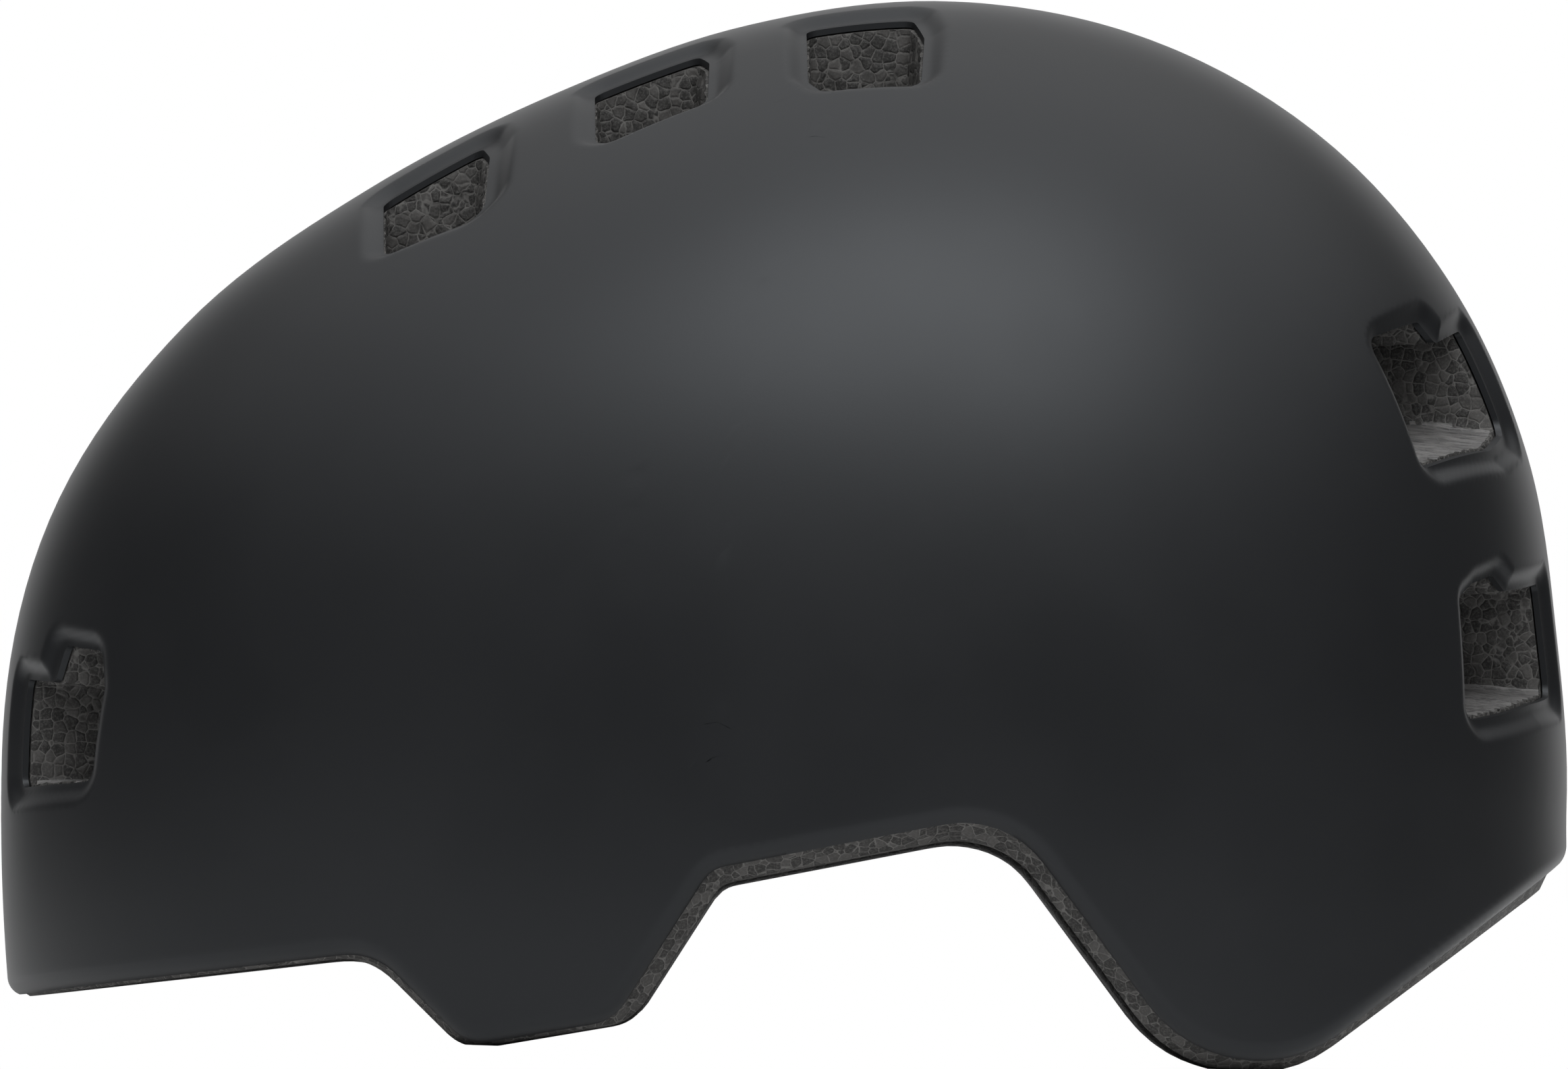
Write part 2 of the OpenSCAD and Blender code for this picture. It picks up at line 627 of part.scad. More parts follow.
module housing_cover() {
  color(plastic_black) slab(housing_back, cover_t) difference() {
    rounded(housing_w, housing_h, corner_r);
    circle(d = shaft_d + 2 * run_gap);
    for (y = [-boss_y, boss_y]) translate([y, 0]) circle(d = screw_d + 2 * run_gap);
  }
}
cover_screw_head = 4;
cover_screw_head_t = 1.2;
cover_screw_l = 5;
module cover_screws() {
  color(steel) for (y = [-boss_y, boss_y]) {
    slab(housing_back + cover_t, cover_screw_head_t) translate([y, 0]) circle(d = cover_screw_head);
    slab(housing_back - cover_screw_l, cover_screw_l + cover_t) translate([y, 0]) circle(d = screw_d);
  }
}
nape_h = 19;
nape_half = 33;
nape_curve = 0.0035;
function nape_place(u, v, g) =
  let (y = mix(-nape_half, nape_half, u))
  [housing_x - band_t - g - nape_curve * y * y, y, dial_z + (v - 0.5) * nape_h];
module nape_pad() { color(pad_black) cushion(function(u, v, g) nape_place(u, v, g), pad_t, gap); }

// Dial: knob, pinion and the screw that joins them
tooth_w = 0.9;
module pinion_outline() {
  circle(r = pinion_r - tooth_h / 2);
  for (k = [0:pinion_teeth - 1]) rotate(360 * k / pinion_teeth + 90)
    polygon([[0, -tooth_w * 0.75], [pinion_r + tooth_h / 2, -tooth_w * 0.35],
             [pinion_r + tooth_h / 2, tooth_w * 0.35], [0, tooth_w * 0.75]]);
}
knob_x = housing_back + cover_t + gap;
knob_floor = 2.8;
knob_bore_x = dial_face - knob_floor;
screw_head_d = 5;
screw_head_t = 1.8;
screw_from = 3;
slot_l = 3.2;
slot_w = 0.8;
module dial_pinion() {
  color(plastic_black) difference() {
    union() {
      slab(housing_x + housing_wall + gap, housing_d - housing_wall - 2 * gap) pinion_outline();
      slab(housing_x + 2 * housing_floor, housing_d) circle(d = journal_d);
      slab(rack_x, knob_bore_x - rack_x) circle(d = shaft_d);
    }
    slab(rack_x + screw_from - 1, margin) circle(d = screw_d + 2 * run_gap);
  }
}
knob_ribs = 20;
rib_r = 1.3;
knob_cup_d = 20;
knob_cup = 3.6;
knob_boss_d = 9;
notch_n = 24;
notch_r = 0.6;
module round_about(n, r) { for (k = [0:n - 1]) rotate(360 * k / n) translate([r, 0]) children(); }
module dial_knob() {
  color(black_matt) difference() {
    slab(knob_x, dial_t) {
      circle(d = dial_d - 2 * rib_r);
      round_about(knob_ribs, dial_d / 2 - rib_r) circle(rib_r, $fn = 16);
    }
    slab(knob_x - 1, knob_cup + 1) difference() {
      union() {
        circle(d = knob_cup_d);
        round_about(notch_n, knob_cup_d / 2) circle(notch_r, $fn = 8);
      }
      circle(d = knob_boss_d);
    }
    slab(knob_x - 1, knob_bore_x - knob_x + 1) circle(d = shaft_d + 2 * run_gap);
    slab(knob_x, dial_t + 1) circle(d = screw_d + 2 * run_gap);
    slab(dial_face - screw_head_t - gap, 2 * screw_head_t) circle(d = screw_head_d + 2 * gap);
  }
}
module dial_screw() {
  start = rack_x + screw_from;
  color(steel) difference() {
    union() {
      slab(start, dial_face - screw_head_t - start) circle(d = screw_d);
      slab(dial_face - screw_head_t - gap, screw_head_t) circle(d = screw_head_d);
    }
    slab(dial_face - gap - 1, 2) square([slot_l, slot_w], center = true);
    slab(dial_face - gap - 1, 2) square([slot_w, slot_l], center = true);
  }
}
spring_r = 7.6;
spring_t = 0.8;
spring_h = 2.4;
nose_r = 1;
module detent_spring() {
  nose = knob_cup_d / 2 - gap - nose_r;
  arm = nose - spring_r + spring_t + 0.6;
  color(steel) slab(housing_back + cover_t, spring_h) {
    difference() {
      circle(spring_r);
      circle(spring_r - spring_t);
    }
    for (side = [-1, 1]) {
      translate([0, side * nose]) circle(nose_r);
      translate([0, side * (spring_r + nose) / 2]) square([nose_r, arm], center = true);
    }
  }
}

// Fit belts: a toothed rack in the housing with a wing outside it. The left one runs above the pinion.
rack_pitch = 2 * PI * pinion_r / pinion_teeth;
rack_in = 10;
spare_teeth = 6;
wing_lap = 0.5;
// Its wing, as [distance out from the housing, forward, up]; it stays level over its travel
wing_free = belt_travel + 1;
WING = [[0, 0, 0], [wing_free, -0.3, 0], [wing_free + 6, -1.4, 0.8], [wing_free + 12, -3.2, 2]];
module fit_belt() {
  low = RACK_LOW + tooth_h;
  high = RACK_LOW + rack_h;
  middle = dial_z + (low + high) / 2 + gap / 4;
  teeth_from = -belt_travel - spare_teeth;
  root = tooth_w * 0.6;
  tip = tooth_w * 0.35;
  color(plastic_black) {
    slab(rack_x - rack_t / 2, rack_t) {
      translate([-housing_w / 2, low + gap / 2]) square([housing_w / 2 + rack_in, high - low - gap / 2]);
      for (k = [ceil(teeth_from / rack_pitch):floor(rack_in / rack_pitch) - 1])
        translate([(k + 0.5) * rack_pitch, 0])
          polygon([[-root, low + gap], [-tip, RACK_LOW], [tip, RACK_LOW], [root, low + gap]]);
    }
    strip([for (p = WING) [rack_x + p[1], wing_lap - housing_w / 2 - p[0], middle + p[2]]],
          high - low - gap, rack_t / 2);
  }
}

// Harness, stowed up inside. Strap routes on the left wall, as [azimuth, level] and stand-off
FRONT_STRAP = [[46, -0.505], [49, -0.41], [57, -0.17], [67, 0.02], [77, 0.13], [82.6, 0.21], [83.4, 0.287]];
REAR_STRAP = [[127.6, -0.46], [125, -0.385], [118, -0.16], [109, 0.02], [102, 0.13], [97.4, 0.21],
              [96.6, 0.287]];
function flat_section(p, n, way, w, t) =
  let (a = unit(cross(way, n)) * w / 2) [p - a, p - a + n * t, p + a + n * t, p + a];
function strap_pt(route, t, g) = let (k = spline(route, t)) in_pt(k[0], k[1], g);
strap_steps = 14;
module strap(route, g = web_stand) {
  last = len(route) - 1;
  loft([
    for (i = [0:strap_steps])
      let (t = last * i / strap_steps, k = spline(route, t), e = 0.05,
           way = strap_pt(route, min(t + e, last), g) - strap_pt(route, max(t - e, 0), g))
      flat_section(in_pt(k[0], k[1], g), inward(FOAM_IN, k[0], k[1]), way, web_w, web_t)
  ]);
}
module front_strap() { color(webbing_black) strap(FRONT_STRAP); }
module rear_strap() { color(webbing_black) strap(REAR_STRAP); }

// Strap anchors on the liner wall, at [azimuth, level, turn], each with a slot for the webbing
ANCHORS = [[43, -0.6, 45], [131, -0.56, -42]];
anchor_stand = 1.4;
anchor_end = 3.5;
ANCHOR = [web_w + 2 * anchor_end, 11, 3.6];
// Room left round webbing in a slot
web_room = 1;
module web_slot(y, h) {
  translate([-(web_w + web_room) / 2, y, -1]) cube([web_w + web_room, web_t + web_room, h + 2]);
}
module strap_anchors() {
  color(plastic_black) for (side = [0, 1]) mirror([0, side, 0]) for (a = ANCHORS)
    on_wall(a[0], a[1], anchor_stand) rotate([0, 0, a[2]]) difference() {
      translate([-ANCHOR[0] / 2, -ANCHOR[1] / 2, 0]) cube(ANCHOR);
      web_slot(0.5, ANCHOR[2]);
    }
}

// Cam lock that joins the front and rear straps below the ear
LOCK = [90, 0.365];
lock_end = 9.5;
LOCK_BASE = [web_w + 2 * lock_end, 20, 2];
lock_stand = 2.2;
lever_end = 2.2;
lever_half = web_w / 2 + lever_end;
lever_t = 2;
cheek_t = 2;
cheek_half = 3;
axle_d = 2;
AXLE = [7, 4.6];
// Frame on the lever's axle, half its length to one side
module across_lock(half) { translate([-half, AXLE[0], AXLE[1]]) rotate([0, 90, 0]) children(); }
module cam_lock() {
  color(plastic_black) on_wall(LOCK[0], LOCK[1], lock_stand) difference() {
    union() {
      translate([-LOCK_BASE[0] / 2, -LOCK_BASE[1] / 2, 0]) cube(LOCK_BASE);
      for (side = [0, 1]) mirror([side, 0, 0])
        translate([lever_half + gap, AXLE[0] - cheek_half, LOCK_BASE[2] - eps])
          cube([cheek_t, 2 * cheek_half, AXLE[1] + axle_d - LOCK_BASE[2]]);
    }
    across_lock(margin) cylinder(d = axle_d + 2 * run_gap, h = 2 * margin);
  }
}
module cam_lever() {
  barrel_r = AXLE[1] - LOCK_BASE[2] - gap;
  axle_half = lever_half + cheek_t + gap;
  color(plastic_black) on_wall(LOCK[0], LOCK[1], lock_stand) {
    across_lock(lever_half) cylinder(r = barrel_r, h = 2 * lever_half);
    across_lock(axle_half) cylinder(d = axle_d, h = 2 * axle_half);
    translate([-lever_half, 1 - LOCK_BASE[1] / 2, AXLE[1] - lever_t / 2])
      cube([2 * lever_half, LOCK_BASE[1] / 2 + AXLE[0] - 1, lever_t]);
  }
}

// Chin strap over the crown, with the buckle in its middle
buckle_half = buckle_l / 2;
buckle_stand = 0.6;
buckle_top = waist_z - buckle_stand
  + reach_of(FOAM_IN, [crown_back, -buckle_half - buckle_travel, waist_z], [0, 0, 1]);
buckle_z = buckle_top - buckle_t / 2;
web_end_z = buckle_z + web_t / 2;
chin_from = 0.438;
chin_to = 0.74;
chin_steps = 10;
chin_bend = 8;
function chin_wall(k) = in_pt(90, mix(chin_from, chin_to, k), web_stand);
CHIN_PATH = concat(
  [for (i = [0:chin_steps]) chin_wall(i / chin_steps)],
  [[crown_back, -buckle_half - chin_bend, mix(web_end_z, chin_wall(1)[2], 0.25)],
   [crown_back, -buckle_half - gap, web_end_z]]
);
module chin_strap() {
  n = len(CHIN_PATH) - 1;
  color(webbing_black) loft([
    for (i = [0:n])
      let (way = CHIN_PATH[min(i + 1, n)] - CHIN_PATH[max(i - 1, 0)], m = unit(cross(way, [1, 0, 0])))
      flat_section(CHIN_PATH[i], -m * sign(m[2]), way, web_w, web_t)
  ]);
}
prong_l = 15;
prong_w = 4;
prong_t = 3;
buckle_wall = 2.5;
cavity_w = buckle_w - 2 * buckle_wall;
tongue_end = -5;
bar_t = 3;
web_gap = web_t + 1.5;
// Windows in the socket's sides that the outer prongs are pressed through
WINDOW = [5, 13];
window_in = 4;
module buckle_block(y0, y1, w, t) {
  translate([crown_back - w / 2, y0, buckle_z - t / 2]) cube([w, y1 - y0, t]);
}
module buckle_tongue() {
  outer_prong = (cavity_w - prong_w) / 2 - gap;
  color(plastic_black) difference() {
    union() {
      buckle_block(-buckle_half, tongue_end, buckle_w, buckle_t - 1);
      for (x = [-outer_prong, 0, outer_prong])
        translate([x, 0, 0]) buckle_block(tongue_end - 1, tongue_end + prong_l, prong_w, prong_t);
    }
    buckle_block(bar_t - buckle_half, bar_t - buckle_half + web_gap, web_w + web_room, buckle_t);
  }
}
module buckle_socket() {
  mouth = tongue_end + gap;
  room = prong_t + 2 * gap;
  color(plastic_black) difference() {
    buckle_block(mouth, buckle_half, buckle_w, buckle_t);
    buckle_block(mouth - 1, mouth + prong_l + 1, cavity_w, room);
    buckle_block(buckle_half - bar_t - web_gap, buckle_half - bar_t, web_w + web_room, buckle_t + 1);
    for (side = [-1, 1]) translate([side * buckle_w / 2, 0, 0])
      buckle_block(mouth + WINDOW[0], mouth + WINDOW[1], 2 * window_in, room);
  }
}
chin_pad_t = 4;
chin_pad_more = 5;
// Its ends, as shares of the chin strap's stretch along the wall
CHIN_PAD = [0.12, 0.8];
module chin_pad() {
  place = function(u, v, g)
    let (
      k = mix(CHIN_PAD[0], CHIN_PAD[1], u), p = chin_wall(k), q = chin_wall(k + 0.01),
      n = unit(cross([1, 0, 0], q - p))
    )
    p + [(0.5 - v) * (web_w + chin_pad_more), 0, 0] + n * sign(-n[2]) * (web_t + g);
  color(pad_black) mirror([0, 1, 0]) cushion(place, chin_pad_t, gap);
}
module sided(side) { mirror([0, side, 0]) children(); }

outer_shell();
eps_liner();
brow_pad();
crown_pad_front();
crown_pad_rear();
side_pad_front();  // side_pad_front_left
sided(1) side_pad_front();  // side_pad_front_right
side_pad_rear();  // side_pad_rear_left
sided(1) side_pad_rear();  // side_pad_rear_right
hook_discs();
temple_anchor();  // temple_anchor_left
sided(1) temple_anchor();  // temple_anchor_right
height_rail();
cradle_band();
height_strip();
dial_housing();
housing_cover();
cover_screws();
nape_pad();
dial_knob();
dial_pinion();
dial_screw();
detent_spring();
fit_belt();  // fit_belt_left
translate([0, 0, 2 * dial_z]) rotate([180, 0, 0]) fit_belt();  // fit_belt_right
strap_anchors();
front_strap();  // front_strap_left
sided(1) front_strap();  // front_strap_right
rear_strap();  // rear_strap_left
sided(1) rear_strap();  // rear_strap_right
cam_lock();  // cam_lock_left
sided(1) cam_lock();  // cam_lock_right
cam_lever();  // cam_lever_left
sided(1) cam_lever();  // cam_lever_right
chin_strap();  // chin_strap_left
sided(1) chin_strap();  // chin_strap_right
buckle_socket();
buckle_tongue();
chin_pad();
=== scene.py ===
"""Bicycle helmet: moulded shell, bead foam liner, pads, dial-fit cradle and strap harness.

Lengths are in millimetres and angles in degrees until a mesh is made. Forward is -X, the wearer's
left is -Y, up is +Z. Azimuth 0 is the brow and 90 the left side; level -1 is the ground, 0 the
widest level and 1 the crown.
"""

import math

import bpy
import numpy as np
from mathutils import Matrix


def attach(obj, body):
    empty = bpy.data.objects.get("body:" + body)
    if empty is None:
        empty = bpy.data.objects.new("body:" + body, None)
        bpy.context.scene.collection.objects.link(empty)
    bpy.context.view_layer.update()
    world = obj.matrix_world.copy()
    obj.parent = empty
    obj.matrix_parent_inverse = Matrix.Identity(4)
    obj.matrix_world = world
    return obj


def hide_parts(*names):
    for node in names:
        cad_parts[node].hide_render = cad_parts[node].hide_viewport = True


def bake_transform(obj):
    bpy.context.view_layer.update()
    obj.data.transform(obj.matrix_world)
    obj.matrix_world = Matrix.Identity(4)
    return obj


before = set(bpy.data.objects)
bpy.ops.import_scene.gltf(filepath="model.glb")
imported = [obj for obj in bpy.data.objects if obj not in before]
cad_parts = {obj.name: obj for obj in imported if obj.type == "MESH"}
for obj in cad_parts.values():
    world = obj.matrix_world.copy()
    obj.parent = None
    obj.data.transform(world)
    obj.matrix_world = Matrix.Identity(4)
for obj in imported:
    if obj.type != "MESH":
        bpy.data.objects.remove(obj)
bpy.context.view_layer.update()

MM = 0.001
LEFT = np.array([0, -1.0, 0])
# Distance given to points that lie nowhere near a feature
FAR = 60.0


def sind(a):
    return np.sin(np.radians(a))


def cosd(a):
    return np.cos(np.radians(a))


def smooth(low, high, x):
    """Share that rises from 0 at low to 1 at high along 3t^2 - 2t^3."""
    t = np.clip((x - low) / (high - low), 0, 1)
    return t * t * (3 - 2 * t)


def lerp(a, b, t):
    return a + (b - a) * t


def unit(v):
    return v / np.maximum(np.linalg.norm(v, axis=-1, keepdims=True), 1e-12)


def run_along(line):
    """Length from the first point of a line to each of its points."""
    return np.concatenate([[0], np.cumsum(np.linalg.norm(np.diff(line, axis=0), axis=1))])


def resampled(line, t):
    """Points of a line at lengths along it."""
    run = run_along(line)
    return np.stack([np.interp(t, run, line[:, k]) for k in range(line.shape[1])], -1)


def even_ring(line, spacing):
    """Points evenly spaced along a closed line."""
    shut = np.vstack([line, line[:1]])
    length = run_along(shut)[-1]
    count = int(length / spacing)
    return resampled(shut, length * np.arange(count) / count)


# Dome of the helmet

HELMET_L, HELMET_W, HELMET_H = 280.0, 212.0, 189.0
CROWN_BACK, WAIST_Z = 24.0, 50.0
CENTRE = np.array([CROWN_BACK, 0.0, WAIST_Z])
FRONT_REACH = HELMET_L / 2 + CROWN_BACK
REAR_REACH = HELMET_L / 2 - CROWN_BACK - 0.5
HALF_W, CROWN_H = HELMET_W / 2, HELMET_H - WAIST_Z
# Form of the middle plane against its ellipses, at steps from the brow over the crown to the back
MID_STEP = 15.0
MID_FORM = np.array([1, 1.0015, 0.985, 0.962, 0.962, 0.984, 1, 1.01, 1.026, 1.032, 1.022, 0.999, 1])
SIDE_SWELL = 0.03
PLAN_POWER_FRONT, PLAN_POWER_REAR = 2.15, 2.3
BROW_TUCK, BACK_FLARE, SIDE_TUCK = 3.5, 8.0, 5.0
SHELL_WALL, BOND_GAP = 1.0, 0.3
# Thickness of the liner in front, at the back, at the sides and on top
LINER = np.array([26.0, 27.0, 24.0, 26.0])


def even(t):
    """Inset of a surface below the dome, as front, rear, side and top."""
    return np.full(4, float(t))


FOAM_OUT = even(SHELL_WALL + BOND_GAP)
FOAM_IN = FOAM_OUT + LINER


def ellipse(a, b, el):
    """Radius of an ellipse at an angle from its half axis a towards b."""
    return 1 / np.sqrt((cosd(el) / a) ** 2 + (sind(el) / b) ** 2)


def spline(knots, t):
    """Catmull-Rom curve through knots at whole t, with its ends mirrored. Knots may be points."""
    knots = np.asarray(knots, float)
    last = len(knots) - 1
    i = np.clip(np.floor(t).astype(int), 0, last)
    f = (t - i).reshape(np.shape(t) + (1,) * (knots.ndim - 1))
    a, b, c, d = (knots[last - np.abs(last - np.abs(i + k))] for k in (-1, 0, 1, 2))
    square, cube = a - 2.5 * b + 2 * c - 0.5 * d, 1.5 * (b - c) + 0.5 * (d - a)
    return b + f * ((c - a) / 2 + f * (square + f * cube))


def dome_radius(inset, az, el):
    """Radius about the centre: ellipses in the middle plane, with its form factors, and at the
    sides, joined by a power mean whose power falls to 2 at the crown."""
    steps = np.arange(len(MID_FORM))
    reach = np.where(steps < 6, FRONT_REACH - inset[0], REAR_REACH - inset[1])
    knots = MID_FORM * ellipse(reach, CROWN_H - inset[3], MID_STEP * steps)
    front = cosd(az) > 0
    middle = spline(knots, np.where(front, el / MID_STEP, 12 - el / MID_STEP))
    side = ellipse(HALF_W - inset[2], CROWN_H - inset[3], el)
    side = side * (1 + SIDE_SWELL * sind(2 * el) ** 2)
    power = 2 + (np.where(front, PLAN_POWER_FRONT, PLAN_POWER_REAR) - 2) * cosd(el) ** 2
    along, across = np.abs(cosd(az)) / middle, np.abs(sind(az)) / side
    return (along**power + across**power) ** (-1 / power)


def tuck(az):
    """How far the wall leans in from the widest level down to the ground."""
    ends = np.where(cosd(az) > 0, BROW_TUCK, -BACK_FLARE)
    return ends * cosd(az) ** 2 + SIDE_TUCK * sind(az) ** 2


def dome_point(inset, az, s):
    """Point at an azimuth and a level: the dome's radius turned up by 90 degrees a level, and below
    the widest level a wall that leans in by the square of the way down."""
    az, s = np.broadcast_arrays(np.asarray(az, float), np.asarray(s, float))
    el, below = 90 * np.maximum(s, 0), np.maximum(-s, 0)
    r = dome_radius(inset, az, el)
    out = r * cosd(el) - tuck(az) * below**2
    z = np.where(s < 0, WAIST_Z * (1 + s), WAIST_Z + r * sind(el))
    return np.stack([CENTRE[0] - out * cosd(az), -out * sind(az), z], -1)


def inward(inset, az, s):
    """Unit normal towards the head, from differences along azimuth and level, taken just below the
    crown where the azimuths meet."""
    s = np.minimum(s, 0.985)
    along = dome_point(inset, az + 0.4, s) - dome_point(inset, az - 0.4, s)
    up = dome_point(inset, az, s + 0.01) - dome_point(inset, az, s - 0.01)
    return unit(np.cross(up, along))


def depth_in(inset, p):
    """How deep a point lies inside the surface."""
    d = p - CENTRE
    az = np.degrees(np.arctan2(-d[..., 1], -d[..., 0]))
    h = np.hypot(d[..., 0], d[..., 1])
    el = np.degrees(np.arctan2(np.maximum(d[..., 2], 0), h))
    low = dome_radius(inset, az, 0 * az) - tuck(az) * (d[..., 2] / WAIST_Z) ** 2 - h
    return np.where(d[..., 2] < 0, low, dome_radius(inset, az, el) - np.linalg.norm(d, axis=-1))


LONGEST_REACH = 220.0


def reach_of(inset, p, v):
    """Distance from p along v to the surface, by halving."""
    low, high = np.zeros(np.shape(p)[:-1]), np.full(np.shape(p)[:-1], LONGEST_REACH)
    for _ in range(24):
        middle = (low + high) / 2
        within = depth_in(inset, p + middle[..., None] * v) > 0
        low, high = np.where(within, middle, low), np.where(within, high, middle)
    return low


def wall_point(az, s, stand):
    """Point that stands off the liner's inner wall."""
    return dome_point(FOAM_IN, az, s) + np.asarray(stand)[..., None] * inward(FOAM_IN, az, s)


# Lower edge, as corners of place, height and fillet from the brow to the back

RIM = np.array([
    [-160, 2.3, 0], [-72.7, 15.2, 12], [-55.2, -1, 8], [-26, 4.9, 8],
    [-11.2, 29.7, 6], [38, 40.8, 18], [79, -10.4, 24.6], [160, 53.6, 0],
])
# How much foam shows below the shell, along each stretch between two corners
FOAM_BAND = [0.5, 0.5, 0.5, 2.8, 2.8, 2.8, 0.5]


def raised(corners, lift):
    """Corners of the edge with each stretch moved up by its own lift."""
    way = unit(np.diff(corners[:, :2], axis=0))
    side = np.stack([-way[:, 1], way[:, 0]], -1) * np.array(lift)[:, None]
    made = corners.copy()
    made[0, :2] += side[0]
    made[-1, :2] += side[-1]
    for i in range(1, len(corners) - 1):
        p, q = corners[i, :2] + side[i - 1], corners[i, :2] + side[i]
        u, v = way[i - 1], way[i]
        made[i, :2] = p + u * (np.cross(q - p, v) / np.cross(u, v))
    return made


def filleted(corners, closed, arc=8.0):
    """Outline through corners of place, place and radius, with an arc for each radius."""
    points = []
    count = len(corners)
    for i in range(count):
        b, r = corners[i][:2], corners[i][2]
        if r == 0 or (not closed and i in (0, count - 1)):
            points.append(b[None])
            continue
        a, c = corners[i - 1][:2], corners[(i + 1) % count][:2]
        u, v = unit(a - b), unit(c - b)
        half = math.acos(np.clip(u @ v, -1, 1)) / 2
        shorter = min(np.linalg.norm(a - b), np.linalg.norm(c - b))
        r = min(r, 0.48 * shorter * math.tan(half))
        o = b + unit(u + v) * r / math.sin(half)
        p, q = b + u * r / math.tan(half), b + v * r / math.tan(half)
        first = math.atan2(*(p - o)[::-1])
        turn = math.atan2(*(q - o)[::-1]) - first
        turn -= 2 * math.pi * round(turn / (2 * math.pi))
        n = max(2, int(abs(math.degrees(turn)) / arc))
        angle = first + turn * np.linspace(0, 1, n + 1)
        points.append(o + r * np.stack([np.cos(angle), np.sin(angle)], -1))
    return np.concatenate(points)


LINER_EDGE = filleted(RIM, False)
SHELL_EDGE = filleted(raised(RIM, FOAM_BAND), False)


def edge_height(line, x):
    """Height of an edge line at places along it, and the ground where it runs below that."""
    return np.maximum(np.interp(x, line[:, 0], line[:, 1]), 0)


def distance(points, line, closed):
    """Distance of points to a line of straight stretches."""
    a, b = (line, np.roll(line, -1, 0)) if closed else (line[:-1], line[1:])
    d = b - a
    rel = points[:, None] - a
    t = np.clip((rel * d).sum(-1) / np.maximum((d * d).sum(-1), 1e-12), 0, 1)
    return np.sqrt(((rel - t[..., None] * d) ** 2).sum(-1)).min(1)


def inside(points, line):
    """Whether points lie inside a closed line, by counting crossings."""
    a, b = line, np.roll(line, -1, 0)
    x, y = points[:, :1], points[:, 1:]
    slope = (b[:, 0] - a[:, 0]) / np.where(b[:, 1] == a[:, 1], 1e-12, b[:, 1] - a[:, 1])
    crossed = ((a[:, 1] > y) != (b[:, 1] > y)) & (x < a[:, 0] + (y - a[:, 1]) * slope)
    return crossed.sum(1) % 2 == 1


EDGE_TOP = 90.0


def above_edge(p):
    """Distance above the shell's edge in the side view, negative below it."""
    made = np.full(len(p), FAR)
    near = p[:, 2] < EDGE_TOP
    flat = p[near][:, [0, 2]]
    away = distance(flat, SHELL_EDGE, False)
    below = flat[:, 1] < np.interp(flat[:, 0], SHELL_EDGE[:, 0], SHELL_EDGE[:, 1])
    made[near] = np.where(below, -away, away)
    return made


# Vents of one side: the way each looks in the middle plane, 0 forward, 90 up and 180 back; how far
# its cut reaches into the foam; the way of the mould's slide in the foam; and its corners, as
# distance from the middle, place across the vent's way and fillet

VENTS = [
    (0, 50, 0, [
        (21, -6.5, 2), (49, -6, 3), (51, 11.5, 4), (49, 18.4, 2), (37, 18.8, 1.5), (34.9, 12, 1.5),
        (21, 12.3, 1.2)]),
    (90, 58, 90, [
        (24, -99, 2), (24, -82, 2), (32, -80.5, 4), (50, -80.5, 2.5), (52.5, -83, 2.5),
        (48, -99, 2.5)]),
    (90, 58, 90, [
        (21, -62, 2), (21, -44, 2), (28, -42, 4), (46, -41.6, 2.5), (49, -59.5, 2.5),
        (47, -62, 2.5)]),
    (90, 58, 90, [
        (21, -24.5, 2), (21, -6, 2), (32, -3.7, 4), (51, -3.5, 2.5), (51, -22, 2.5),
        (47, -24.5, 2.5)]),
    (145, 50, 180, [
        (22, -13.2, 1.2), (41, -13.5, 1.5), (43, -18.4, 1.2), (61, -20.8, 1.6), (64, 2.4, 2.5),
        (62, 4.4, 2), (37, 7.9, 5), (22, 6.7, 3)]),
    (180, 50, 180, [
        (20, -38, 1.2), (44.5, -36.6, 1.5), (49, -39.6, 1.2), (57, -38.1, 3), (62, -35.5, 2),
        (64, -14, 2), (62, -12.5, 2), (38, -16.7, 5), (20, -18.5, 2.5)]),
]
VENT_TAPER = 0.006
# Part of a vent's frame in which distances to its hole are worked out
VENT_INNER, VENT_OUTER, VENT_REACH = 20, 85, 36
CUTTER_OUT = 30.0


